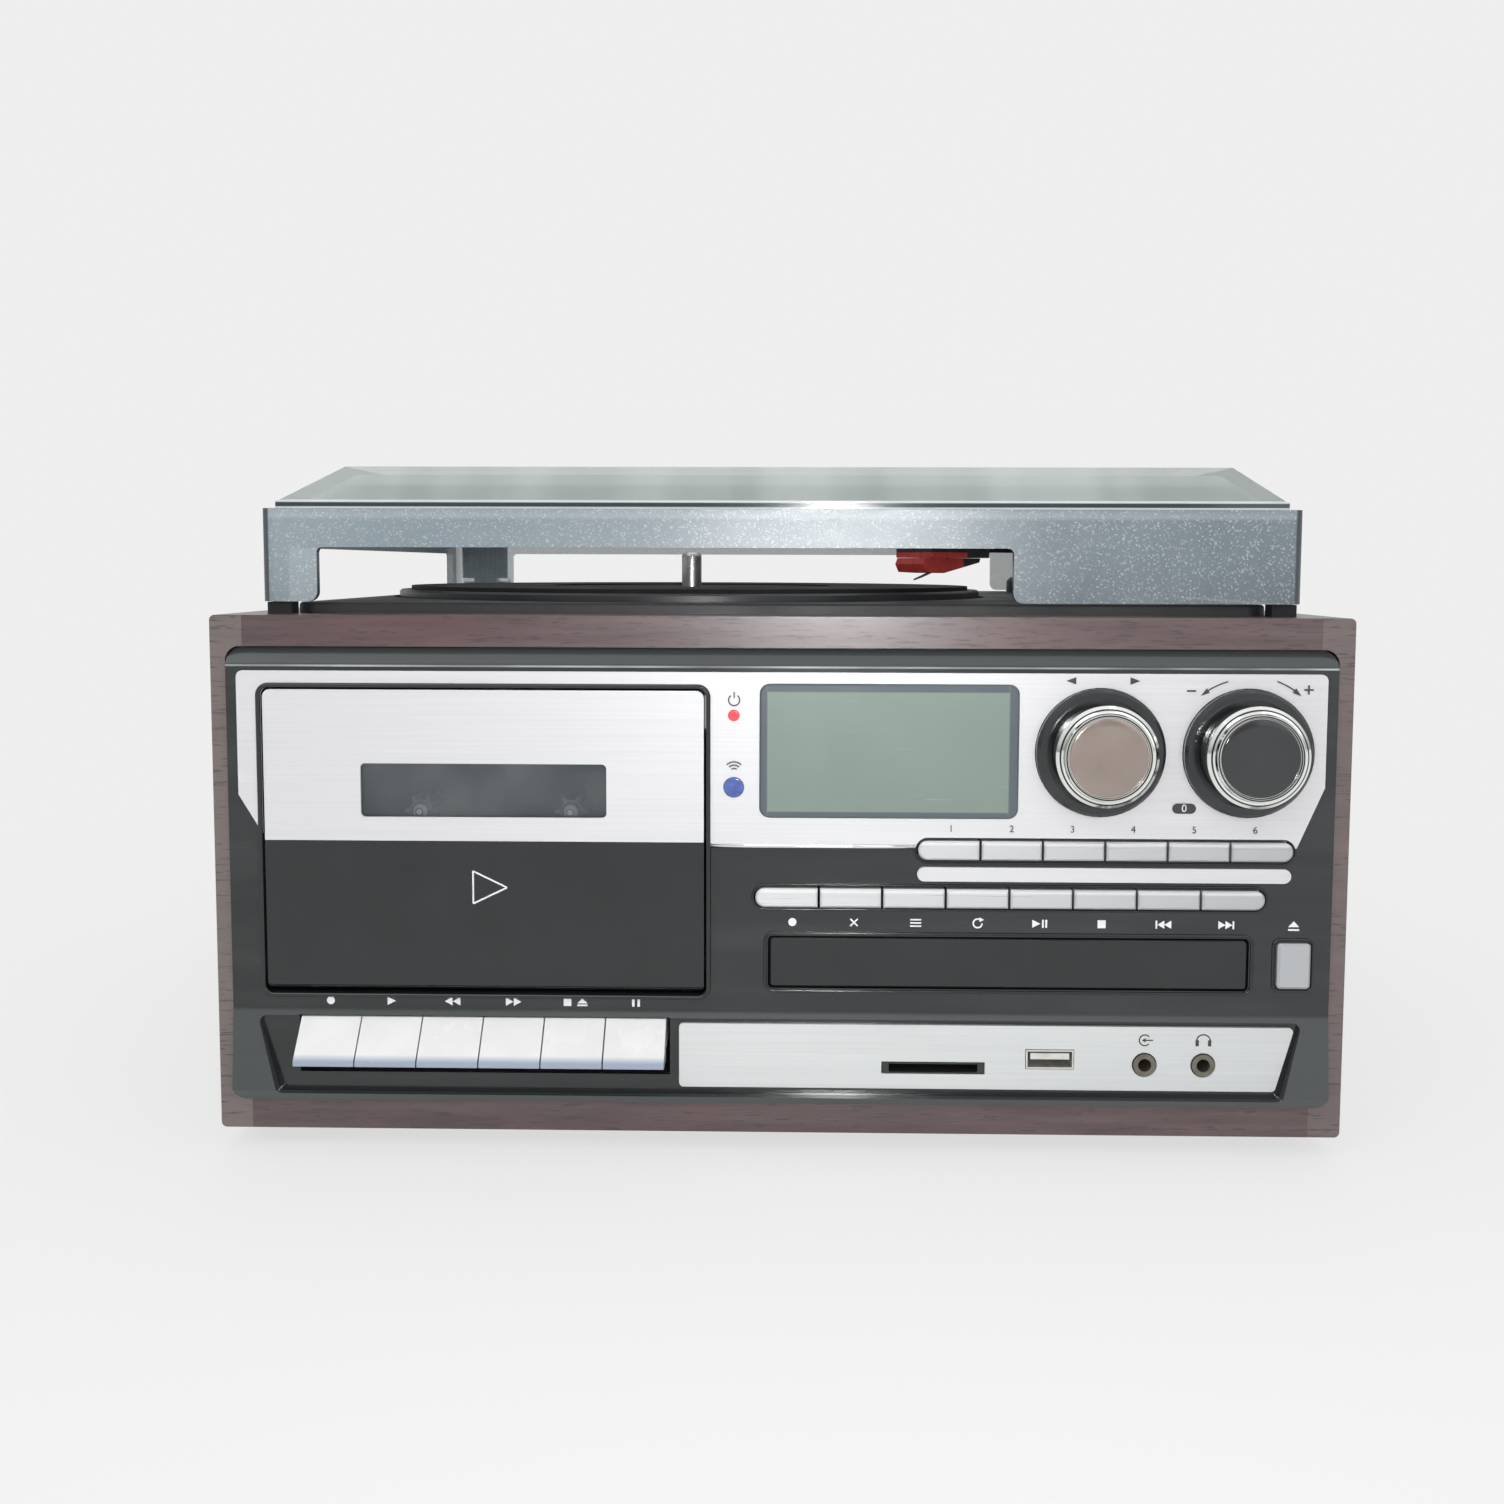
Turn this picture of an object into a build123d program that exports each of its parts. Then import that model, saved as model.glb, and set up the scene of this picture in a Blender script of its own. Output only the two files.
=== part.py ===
from build123d import *
import math
import os

# Stereo music centre: a veneered cabinet with a cassette deck, disc drawer and radio controls on its front,
# and a belt-driven turntable under a hinged smoked cover. Millimetres. X runs to the right as seen from the
# front, Y to the back and Z up. The origin is at floor level under the middle of the whole object.

os.makedirs("parts", exist_ok=True)

# Cabinet
WIDTH = 310.0
DEPTH = 260.0
HEIGHT = 143.0
FOOT_HEIGHT = 6.0
FRONT = -127.0
BACK = FRONT + DEPTH
BASE = FOOT_HEIGHT
TOP = BASE + HEIGHT
SIDE_BOARD = 9.0
FLAT_BOARD = 12.0
CAVITY_WIDTH = WIDTH - 2 * SIDE_BOARD
CAVITY_HEIGHT = HEIGHT - 2 * FLAT_BOARD
CABINET_MID = BASE + HEIGHT / 2
REAR_REBATE = 3.0
REAR_LEDGE = 4.0
EDGE_ROUND = 1.5

# Gaps: a shaft in its bore, all round a fitted piece, and all round a piece that moves
RUN_GAP = 0.05
FIT_GAP = 0.4
MOVE_GAP = 0.8

# Front panel
PANEL_WIDTH = 301.0
PANEL_BOTTOM = 14.7
PANEL_TOP = 140.1
PANEL_HEIGHT = PANEL_TOP - PANEL_BOTTOM
PANEL_MID = (PANEL_TOP + PANEL_BOTTOM) / 2
PANEL_FACE = FRONT - 1.0
PANEL_WALL = 3.0
PANEL_RIM = 7.0
PANEL_CREASE = 41.0
PANEL_CORNER = 3.5
SKIN = 0.8

# Cassette door, between its left and right, and bottom and top
DOOR_LEFT = -140.4
DOOR_RIGHT = -20.1
DOOR_BOTTOM = 45.6
DOOR_TOP = 128.9
DOOR_SPLIT = 87.5
DOOR_X = (DOOR_LEFT + DOOR_RIGHT) / 2
DOOR_WIDTH = DOOR_RIGHT - DOOR_LEFT
DOOR_HEIGHT = DOOR_TOP - DOOR_BOTTOM
DOOR_Z = (DOOR_TOP + DOOR_BOTTOM) / 2
DOOR_GAP = 0.6
DOOR_FACE = PANEL_FACE - 0.8
WINDOW = (DOOR_X, 101.4, 67.2, 14.7)
REEL_X = -79.5
REEL_HALF_PITCH = 21.25
REEL_Z = 93.5
BAY_BACK = -101.0

# Radio and disc controls
DISPLAY = (30.0, 112.7, 69.8, 36.3)
LAMP = (-12.0, 122.3, 1.5)
REMOTE = (-12.0, 102.7, 2.75)
TUNING_X = 86.8
VOLUME_X = 126.4
KNOB_Z = 112.7
COLLAR_OUTER = 17.35
COLLAR_INNER = 14.6
COLLAR_REACH = 3.4
KNOB_RADIUS = 13.6
KNOB_FRONT = -140.8
SHAFT_RADIUS = 3.0
ROW_HEIGHT = 5.2
ROW_GAP = 0.35
FUNCTION_ROW = (88.75, 85.8, 101.1, 6)
DISC_ROW = (63.05, 72.5, 138.1, 8)
FUNCTION_BAR = (88.5, 79.15, 101.0, 3.9)
BUTTON_TRAVEL = 0.8
OPEN_BUTTON = (140.4, 54.5, 8.9, 12.5)
DRAWER = (62.95, 54.4, 130.3, 13.8)
BOARD_FRONT = -113.0
SWITCH_FRONT = -119.0

# Piano keys
KEY_LEFT = -131.8
KEY_PITCH = 16.9
KEY_WIDTH = 16.5
KEY_AXIS_Y = -100.0
KEY_AXIS_Z = 32.5
KEY_ROD = 1.5
KEY_NAMES = ["record", "play", "rewind", "forward", "stop", "pause"]

# Lower sockets
POCKET_FLOOR = PANEL_FACE + 1.4
SOCKET_Z = 26.3
LINE_IN_X = 100.9
PHONES_X = 116.9
JACK_BORE = 1.8
USB = (75.0, 27.6, 13.0, 5.2)
CARD = (43.0, 24.9, 28.0, 3.0)

# Turntable
SPINDLE_X = -32.0
SPINDLE_Y = 8.0
SPINDLE_RADIUS = 3.55
SPINDLE_TOP = 167.5
DECK_WIDTH = 276.0
DECK_DEPTH = 232.0
DECK_Y = 8.0
DECK_CORNER = 6.0
DECK_SIDE_LAP = 10.0
DECK_END_LAP = 12.0
DECK_TOP = TOP + 3.0
WELL_FLOOR = TOP + 0.5
PLATTER_RADIUS = 102.5
PLATTER_BOTTOM = DECK_TOP - 1.4
PLATTER_TOP = DECK_TOP + 2.4
MAT_TOP = PLATTER_TOP + 1.3
HUB_RADIUS = 56.0
PULLEY_RADIUS = 5.0
PULLEY_X = SPINDLE_X - 58.0
PULLEY_Y = SPINDLE_Y - 52.0
TROUGH_FLOOR = TOP - 7.0
BELT_GAP = 0.3
ARM_X = 105.0
ARM_Y = 80.0
ARM_LENGTH = 163.0
ARM_Z = 170.5
ARM_TURN = -22.7
HEAD_OFFSET = 25.0
HEAD_REACH = 50.0

# Dust cover
COVER_WIDTH = 290.0
COVER_FRONT = FRONT + 12.0
COVER_BACK = BACK - 2.0
COVER_DEPTH = COVER_BACK - COVER_FRONT
COVER_MID = (COVER_BACK + COVER_FRONT) / 2
COVER_BOTTOM = TOP + 3.4
COVER_SHOULDER = TOP + 29.4
COVER_STEP = COVER_SHOULDER + 2.2
COVER_CROWN = 191.0
COVER_WALL = 2.5
COVER_CORNER = 4.0
LEDGE = 7.0
CROWN_WALL = 2.2
CROWN_SIDE = 17.5
CROWN_END = 18.0
CROWN_SHIFT = 2.0
NOTCH_TOP = COVER_BOTTOM + 15.2
FRONT_NOTCH = (-129.0, 65.0)
REAR_NOTCH = (-119.0, 92.0)
SIDE_NOTCH = 212.0
NOTCH_CORNER = 1.6
POST_CORNER = 2.8
HINGE_X = 132.0
HINGE_WIDTH = 20.0
HINGE_Y = BACK + 4.0
HINGE_Z = TOP + 4.0
KNUCKLE_RADIUS = 3.8
PIN_RADIUS = 1.4


def front_plane(y):
    """Upright drawing plane at depth y, facing the front: across is X and up is Z."""
    return Plane.XZ.offset(-y)


def level(z):
    """Flat drawing plane at height z."""
    return Plane.XY.offset(z)


def save(body, name):
    """Label a finished piece and write it under its own name."""
    body.label = name
    export_step(body, f"parts/{name}.step")


# Cabinet: boards rebated at the front for the panel and at the back for the back panel
with BuildPart() as cabinet:
    with BuildSketch(front_plane(FRONT)):
        with Locations((0, CABINET_MID)):
            Rectangle(WIDTH, HEIGHT)
            Rectangle(CAVITY_WIDTH, CAVITY_HEIGHT, mode=Mode.SUBTRACT)
    extrude(amount=-DEPTH)
    with BuildSketch(front_plane(FRONT)):
        with Locations((0, PANEL_MID)):
            RectangleRounded(PANEL_WIDTH + 2 * FIT_GAP, PANEL_HEIGHT + 2 * FIT_GAP, PANEL_CORNER + FIT_GAP)
    extrude(amount=-(PANEL_RIM - 1.0), mode=Mode.SUBTRACT)
    with BuildSketch(front_plane(BACK)):
        with Locations((0, CABINET_MID)):
            Rectangle(CAVITY_WIDTH + 2 * REAR_LEDGE, CAVITY_HEIGHT + 2 * REAR_LEDGE)
    extrude(amount=REAR_REBATE, mode=Mode.SUBTRACT)
    with BuildSketch(level(TOP)):
        with Locations((0, DECK_Y)):
            RectangleRounded(DECK_WIDTH - 2 * DECK_SIDE_LAP, DECK_DEPTH - 2 * DECK_END_LAP, DECK_CORNER)
    extrude(amount=-FLAT_BOARD, mode=Mode.SUBTRACT)
    corners = cabinet.edges().filter_by(Axis.Y).filter_by(
        lambda edge: abs(abs(edge.center().X) - WIDTH / 2) < 0.1)
    fillet(corners, EDGE_ROUND)
save(cabinet.part, "cabinet")

# Feet: four tapered rubber feet, and two bumpers that carry the cover's front corners
FOOT_RADIUS = 8.0
FOOT_TAPER = 8.0
FOOT_INSET = 32.0
BUMPER_WIDTH = 6.8
BUMPER_DEPTH = 6.0
BUMPER_INSET = 5.0
BUMPER_GAP = 0.15
with BuildPart() as feet:
    with BuildSketch(level(0)):
        with GridLocations(WIDTH - 2 * FOOT_INSET, DEPTH - 2 * FOOT_INSET, 2, 2):
            with Locations((0, (FRONT + BACK) / 2)):
                Circle(FOOT_RADIUS)
    extrude(amount=FOOT_HEIGHT, taper=-FOOT_TAPER)
    with BuildSketch(level(TOP)):
        with GridLocations(COVER_WIDTH - 2 * BUMPER_INSET, 1, 2, 1):
            with Locations((0, COVER_FRONT + 4)):
                Rectangle(BUMPER_WIDTH, BUMPER_DEPTH)
    extrude(amount=COVER_BOTTOM - TOP - BUMPER_GAP)
save(feet.part, "feet")

# Back panel: a row of vent slots, an opening for the phono sockets and one for the mains inlet
BACK_PLATE_Y = BACK - REAR_REBATE
BACK_PLATE = 2.6
PHONO_X = -70.0
PHONO_Z = 60.0
PHONO_PITCH = 16.0
PHONO_RADIUS = 4.15
PHONO_BLOCK_HEIGHT = 16.0
INLET_X = 100.0
INLET_Z = 45.0
INLET_WIDTH = 22.0
INLET_HEIGHT = 14.0
VENT_MIDDLE = (20.0, 104.0)
VENT_PITCH = 12.0
VENT_COUNT = 10
VENT_WIDTH = 3.4
VENT_HEIGHT = 28.0
PLATE_GAP = 0.3
BACK_LAP = REAR_LEDGE - PLATE_GAP
with BuildPart() as back_panel:
    with BuildSketch(front_plane(BACK_PLATE_Y)):
        with Locations((0, CABINET_MID)):
            Rectangle(CAVITY_WIDTH + 2 * BACK_LAP, CAVITY_HEIGHT + 2 * BACK_LAP)
        with Locations((PHONO_X, PHONO_Z)):
            Rectangle(
                4 * PHONO_PITCH + 2 * PLATE_GAP, PHONO_BLOCK_HEIGHT + 2 * PLATE_GAP, mode=Mode.SUBTRACT
            )
        with Locations((INLET_X, INLET_Z)):
            Rectangle(INLET_WIDTH + 2 * PLATE_GAP, INLET_HEIGHT + 2 * PLATE_GAP, mode=Mode.SUBTRACT)
        with Locations(VENT_MIDDLE):
            with GridLocations(VENT_PITCH, 1, VENT_COUNT, 1):
                Rectangle(VENT_WIDTH, VENT_HEIGHT, mode=Mode.SUBTRACT)
    extrude(amount=-BACK_PLATE)
save(back_panel.part, "back_panel")

# Screws: six bevelled heads round the edge of the back panel
SCREW_RADIUS = 3.2
SCREW_HEAD = 1.8
SCREW_BEVEL = 0.7
SCREW_INSET = (2.0, 3.0)
with BuildPart() as screws:
    with BuildSketch(front_plane(BACK_PLATE_Y + BACK_PLATE)):
        with Locations((0, CABINET_MID)):
            with GridLocations(CAVITY_WIDTH - 2 * SCREW_INSET[0], CAVITY_HEIGHT - 2 * SCREW_INSET[1], 2, 2):
                Circle(SCREW_RADIUS)
        with Locations((0, CABINET_MID)):
            with GridLocations(1, CAVITY_HEIGHT - 2 * SCREW_INSET[1], 1, 2):
                Circle(SCREW_RADIUS)
    extrude(amount=-SCREW_HEAD)
    chamfer(screws.faces().sort_by(Axis.Y)[-6:].edges(), SCREW_BEVEL)
save(screws.part, "screws")

# Front panel: a moulded face with a rim, a sloped top band, a crease above its sloped foot, two collars
KEY_SLOT = (-81.1, 30.3, 103.0, 16.6)
PANEL_BEVEL = 4.3
PANEL_BEVEL_DEPTH = 3.0
FOOT_LIP = 2.4
RIM_WALL = 3.5
COLLAR_BEVEL = 0.9
LENS_GAP = 0.1
SHAFT_GAP = 1.0
JACK_HOLE = 3.4
BUTTON_GAP = 0.3
THROUGH = 20.0
with BuildPart() as front_panel:
    with BuildSketch(Plane.YZ):
        with BuildLine():
            Polyline(
                (PANEL_FACE + PANEL_RIM, PANEL_TOP),
                (PANEL_FACE + PANEL_BEVEL_DEPTH, PANEL_TOP),
                (PANEL_FACE, PANEL_TOP - PANEL_BEVEL),
                (PANEL_FACE, PANEL_CREASE),
                (PANEL_FACE - FOOT_LIP, PANEL_BOTTOM + 3.0),
                (PANEL_FACE - 0.4, PANEL_BOTTOM),
                (PANEL_FACE + PANEL_RIM, PANEL_BOTTOM),
                close=True,
            )
        make_face()
    extrude(amount=PANEL_WIDTH / 2, both=True)
    with BuildSketch(front_plane(PANEL_FACE + PANEL_RIM)):
        with Locations((0, PANEL_MID)):
            RectangleRounded(PANEL_WIDTH, PANEL_HEIGHT, PANEL_CORNER)
    extrude(amount=THROUGH, mode=Mode.INTERSECT)
    with BuildSketch(front_plane(PANEL_FACE + PANEL_RIM)):
        with Locations((0, PANEL_MID)):
            Rectangle(PANEL_WIDTH - 2 * RIM_WALL, PANEL_HEIGHT - 2 * RIM_WALL)
    extrude(amount=PANEL_RIM - PANEL_WALL, mode=Mode.SUBTRACT)
    with BuildSketch(front_plane(POCKET_FLOOR)):
        with BuildLine():
            FilletPolyline(
                (-143.7, 38.4),
                (143.4, 38.4),
                (138.0, 16.8),
                (-138.2, 16.8),
                radius=2.0,
                close=True,
            )
        make_face()
    extrude(amount=12, mode=Mode.SUBTRACT)
    with BuildSketch(front_plane(PANEL_FACE)):
        with Locations((TUNING_X, KNOB_Z), (VOLUME_X, KNOB_Z)):
            Circle(COLLAR_OUTER)
    extrude(amount=COLLAR_REACH)
    chamfer(front_panel.faces().sort_by(Axis.Y)[:2].edges(), COLLAR_BEVEL)
    with BuildSketch(front_plane(PANEL_FACE)):
        with Locations((TUNING_X, KNOB_Z), (VOLUME_X, KNOB_Z)):
            Circle(COLLAR_INNER)
    extrude(amount=COLLAR_REACH, mode=Mode.SUBTRACT)
    with BuildSketch(front_plane(PANEL_FACE + PANEL_WALL)):
        with Locations((DOOR_X, DOOR_Z)):
            Rectangle(DOOR_WIDTH + 2 * DOOR_GAP, DOOR_HEIGHT + 2 * DOOR_GAP)
        with Locations((DISPLAY[0], DISPLAY[1])):
            Rectangle(DISPLAY[2] + PLATE_GAP, DISPLAY[3] + PLATE_GAP)
        with Locations((LAMP[0], LAMP[1])):
            Circle(LAMP[2] + LENS_GAP)
        with Locations((REMOTE[0], REMOTE[1])):
            Circle(REMOTE[2] + LENS_GAP)
        with Locations((TUNING_X, KNOB_Z), (VOLUME_X, KNOB_Z)):
            Circle(SHAFT_RADIUS + SHAFT_GAP)
        with Locations((DRAWER[0], DRAWER[1])):
            RectangleRounded(DRAWER[2] + MOVE_GAP, DRAWER[3] + MOVE_GAP, 1.4)
        with Locations((OPEN_BUTTON[0], OPEN_BUTTON[1])):
            RectangleRounded(OPEN_BUTTON[2] + 2 * BUTTON_GAP, OPEN_BUTTON[3] + 2 * BUTTON_GAP, 1.3)
        for row in (FUNCTION_ROW, DISC_ROW):
            with Locations((row[0], row[1])):
                SlotOverall(row[2] + MOVE_GAP, ROW_HEIGHT + MOVE_GAP)
        with Locations((KEY_SLOT[0], KEY_SLOT[1])):
            Rectangle(KEY_SLOT[2], KEY_SLOT[3])
        with Locations((LINE_IN_X, SOCKET_Z), (PHONES_X, SOCKET_Z)):
            Circle(JACK_HOLE)
        with Locations((USB[0], USB[1])):
            Rectangle(USB[2] + FIT_GAP, USB[3] + FIT_GAP)
        with Locations((CARD[0], CARD[1])):
            Rectangle(CARD[2] + FIT_GAP, CARD[3] + FIT_GAP)
    extrude(amount=THROUGH, mode=Mode.SUBTRACT)
save(front_panel.part, "front_panel")

# Upper silver plate, with the long bar below the function buttons
BAR_X, BAR_Z, BAR_WIDTH, BAR_HEIGHT = FUNCTION_BAR
BAR_REACH = 1.0
PLATE_CORNER = 1.8
ROW_MARGIN = 1.6
with BuildPart() as upper_plate:
    with BuildSketch(front_plane(PANEL_FACE)) as plate_outline:
        with BuildLine():
            Polyline(
                (-147.4, 134.0),
                (147.4, 134.0),
                (147.4, 103.4),
                (140.3, 86.8),
                (-140.9, 86.8),
                (-140.9, 89.2),
                (-147.4, 100.0),
                close=True,
            )
        make_face()
        fillet(plate_outline.vertices().group_by(Axis.Y)[-1], PLATE_CORNER)
        with Locations((DOOR_X, DOOR_Z)):
            RectangleRounded(DOOR_WIDTH + 2 * DOOR_GAP, DOOR_HEIGHT + 2 * DOOR_GAP, 2.4, mode=Mode.SUBTRACT)
        with Locations((DISPLAY[0], DISPLAY[1])):
            RectangleRounded(DISPLAY[2] + PLATE_GAP, DISPLAY[3] + PLATE_GAP, 2.8, mode=Mode.SUBTRACT)
        with Locations((TUNING_X, KNOB_Z), (VOLUME_X, KNOB_Z)):
            Circle(COLLAR_OUTER + PLATE_GAP / 2, mode=Mode.SUBTRACT)
        with Locations((LAMP[0], LAMP[1])):
            Circle(LAMP[2] + LENS_GAP, mode=Mode.SUBTRACT)
        with Locations((REMOTE[0], REMOTE[1])):
            Circle(REMOTE[2] + LENS_GAP, mode=Mode.SUBTRACT)
        with Locations((FUNCTION_ROW[0], FUNCTION_ROW[1])):
            SlotOverall(FUNCTION_ROW[2] + ROW_MARGIN, ROW_HEIGHT + ROW_MARGIN, mode=Mode.SUBTRACT)
    extrude(amount=SKIN)
    with BuildSketch(front_plane(PANEL_FACE)):
        with Locations((BAR_X, BAR_Z)):
            SlotOverall(BAR_WIDTH, BAR_HEIGHT)
    extrude(amount=BAR_REACH)
save(upper_plate.part, "upper_plate")

# Lower silver plate, in the panel's lower pocket
LOWER_SKIN = 1.2
with BuildPart() as lower_plate:
    with BuildSketch(front_plane(POCKET_FLOOR)):
        with BuildLine():
            FilletPolyline((-27.0, 36.9), (141.6, 36.9), (136.6, 19.0), (-27.0, 19.0), radius=1.2, close=True)
        make_face()
        with Locations((LINE_IN_X, SOCKET_Z), (PHONES_X, SOCKET_Z)):
            Circle(JACK_HOLE, mode=Mode.SUBTRACT)
        with Locations((USB[0], USB[1])):
            Rectangle(USB[2] + FIT_GAP, USB[3] + FIT_GAP, mode=Mode.SUBTRACT)
        with Locations((CARD[0], CARD[1])):
            Rectangle(CARD[2] + FIT_GAP, CARD[3] + FIT_GAP, mode=Mode.SUBTRACT)
    extrude(amount=LOWER_SKIN)
save(lower_plate.part, "lower_plate")

# Display glass: a bordered window proud of the silver plate, over the liquid crystal panel
GLASS_BACK = PANEL_FACE + 1.5
GLASS_THICKNESS = 2.9
GLASS_BEVEL = 0.5
GLASS_BORDER = 2.0
GLASS_STEP = 3.1
with BuildPart() as display_glass:
    with BuildSketch(front_plane(GLASS_BACK)):
        with Locations((DISPLAY[0], DISPLAY[1])):
            RectangleRounded(DISPLAY[2], DISPLAY[3], 2.7)
    extrude(amount=GLASS_THICKNESS)
    chamfer(display_glass.faces().sort_by(Axis.Y)[0].edges(), GLASS_BEVEL)
    with BuildSketch(front_plane(GLASS_BACK + GLASS_STEP)):
        with Locations((DISPLAY[0], DISPLAY[1])):
            Rectangle(DISPLAY[2] - 2 * GLASS_BORDER, DISPLAY[3] - 2 * GLASS_BORDER)
    extrude(amount=GLASS_STEP)
save(display_glass.part, "display_glass")

# Power lamp and remote-control lens: domed light guides through the silver plate
LENS_DEPTH = 4.0
LENS_DOME = 0.5
with BuildPart() as indicator_lenses:
    for x, z, radius in (LAMP, REMOTE):
        with BuildSketch(front_plane(PANEL_FACE + LENS_DEPTH)):
            with Locations((x, z)):
                Circle(radius)
        extrude(amount=LENS_DEPTH + SKIN + LENS_DOME)
    fillet(indicator_lenses.faces().sort_by(Axis.Y)[:2].edges(), 0.45)
save(indicator_lenses.part, "indicator_lenses")


def knob(x):
    """Knob with a flared chrome rim, a dished face for its cap, and a shaft into the board."""
    back = PANEL_FACE - 0.8
    with BuildPart() as turned:
        with BuildSketch(Plane.YZ.offset(x)):
            with BuildLine():
                Polyline(
                    (back, KNOB_Z),
                    (back, KNOB_Z + 12.6),
                    (-136.6, KNOB_Z + 13.0),
                    (-137.2, KNOB_Z + KNOB_RADIUS),
                    (-138.6, KNOB_Z + KNOB_RADIUS),
                    (-139.6, KNOB_Z + 12.6),
                    (-139.9, KNOB_Z + 11.9),
                    (KNOB_FRONT, KNOB_Z + 11.5),
                    (KNOB_FRONT, KNOB_Z + 10.8),
                    (-140.2, KNOB_Z + 10.5),
                    (-140.2, KNOB_Z),
                    close=True,
                )
            make_face()
        revolve(axis=Axis((x, 0, KNOB_Z), (0, 1, 0)))
        with BuildSketch(front_plane(back)):
            with Locations((x, KNOB_Z)):
                Circle(SHAFT_RADIUS)
        extrude(amount=-(BOARD_FRONT - back - 2.0))
    return turned.part


save(knob(TUNING_X), "tuning_knob")
save(knob(VOLUME_X), "volume_knob")


# Buttons: how far they start inside the panel and stand out, their flange and the stem to their switch
BUTTON_BACK = PANEL_FACE + PANEL_WALL + 0.2
BUTTON_LENGTH = PANEL_WALL + 1.8
BUTTON_BEVEL = 0.5
FLANGE_BACK = PANEL_FACE + PANEL_WALL + 1.4
FLANGE = 1.2
FLANGE_LAP = 1.3
STEM_RADIUS = 1.6
STEM_BACK = SWITCH_FRONT - BUTTON_TRAVEL - 0.2
STEM_LENGTH = SWITCH_FRONT - FLANGE_BACK - 0.8


def row_button(row, index):
    """One button of a row: an outer face with a flange behind the panel and a stem to its switch."""
    row_x, row_z, row_width, count = row
    pitch = row_width / count
    x = row_x - row_width / 2 + (index + 0.5) * pitch
    left = x - pitch / 2 + (-1.0 if index == 0 else ROW_GAP)
    right = x + pitch / 2 + (1.0 if index == count - 1 else -ROW_GAP)
    with BuildPart() as button:
        with BuildSketch(front_plane(BUTTON_BACK)):
            with Locations((row_x, row_z)):
                SlotOverall(row_width, ROW_HEIGHT)
            with Locations(((left + right) / 2, row_z)):
                Rectangle(right - left, ROW_HEIGHT + 1, mode=Mode.INTERSECT)
        extrude(amount=BUTTON_LENGTH)
        chamfer(button.faces().sort_by(Axis.Y)[0].edges(), BUTTON_BEVEL)
        with BuildSketch(front_plane(FLANGE_BACK)):
            with Locations((x, row_z)):
                Rectangle(pitch - 0.9, ROW_HEIGHT + 2 * FLANGE_LAP)
        extrude(amount=FLANGE)
        with BuildSketch(front_plane(STEM_BACK)):
            with Locations((x, row_z)):
                Circle(STEM_RADIUS)
        extrude(amount=STEM_LENGTH)
    return button.part, x


BUTTON_ROWS = [("function", FUNCTION_ROW), ("disc", DISC_ROW)]
switch_places = []
for row_name, row in BUTTON_ROWS:
    for index in range(row[3]):
        button_part, button_x = row_button(row, index)
        save(button_part, f"{row_name}_button_{index + 1}")
        switch_places.append((button_x, row[1]))

# Open and close button of the disc drawer
OPEN_X, OPEN_Z, OPEN_WIDTH, OPEN_HEIGHT = OPEN_BUTTON
with BuildPart() as open_button:
    with BuildSketch(front_plane(BUTTON_BACK)):
        with Locations((OPEN_X, OPEN_Z)):
            RectangleRounded(OPEN_WIDTH, OPEN_HEIGHT, 1.0)
    extrude(amount=BUTTON_LENGTH)
    chamfer(open_button.faces().sort_by(Axis.Y)[0].edges(), 0.6)
    with BuildSketch(front_plane(FLANGE_BACK)):
        with Locations((OPEN_X - 0.6, OPEN_Z)):
            Rectangle(OPEN_WIDTH + 1.6, OPEN_HEIGHT + 2 * FLANGE_LAP)
    extrude(amount=FLANGE)
    with BuildSketch(front_plane(STEM_BACK)):
        with Locations((OPEN_X, OPEN_Z)):
            Circle(STEM_RADIUS)
    extrude(amount=STEM_LENGTH)
save(open_button.part, "open_button")
switch_places.append((OPEN_X, OPEN_Z))

# Control board: switches behind the buttons, the encoder and potentiometer behind the knobs
BOARD_THICKNESS = 1.6
SWITCH_SIZE = 6.0
POT_SIZE = 15.0
POT_DEPTH = 8.0
with BuildPart() as control_board:
    with BuildSketch(front_plane(BOARD_FRONT)):
        with Locations((65.0, 99.5)):
            Rectangle(158, 69)
        with Locations((OPEN_X - 0.5, 56.0)):
            Rectangle(7.0, 20)
    extrude(amount=-BOARD_THICKNESS)
    with BuildSketch(front_plane(BOARD_FRONT)):
        with Locations(*switch_places):
            Rectangle(SWITCH_SIZE, SWITCH_SIZE)
    extrude(amount=BOARD_FRONT - SWITCH_FRONT)
    with BuildSketch(front_plane(BOARD_FRONT)):
        with Locations((TUNING_X, KNOB_Z), (VOLUME_X, KNOB_Z)):
            Rectangle(POT_SIZE, POT_SIZE)
    extrude(amount=POT_DEPTH)
    with BuildSketch(front_plane(BOARD_FRONT - POT_DEPTH)):
        with Locations((TUNING_X, KNOB_Z), (VOLUME_X, KNOB_Z)):
            Circle(SHAFT_RADIUS + RUN_GAP)
    extrude(amount=1.0 - POT_DEPTH, mode=Mode.SUBTRACT)
    with BuildSketch(front_plane(BOARD_FRONT)):
        with Locations((DISPLAY[0], DISPLAY[1])):
            Rectangle(DISPLAY[2] - GLASS_BORDER, DISPLAY[3] - GLASS_BORDER)
    extrude(amount=POT_DEPTH)
save(control_board.part, "control_board")

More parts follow.
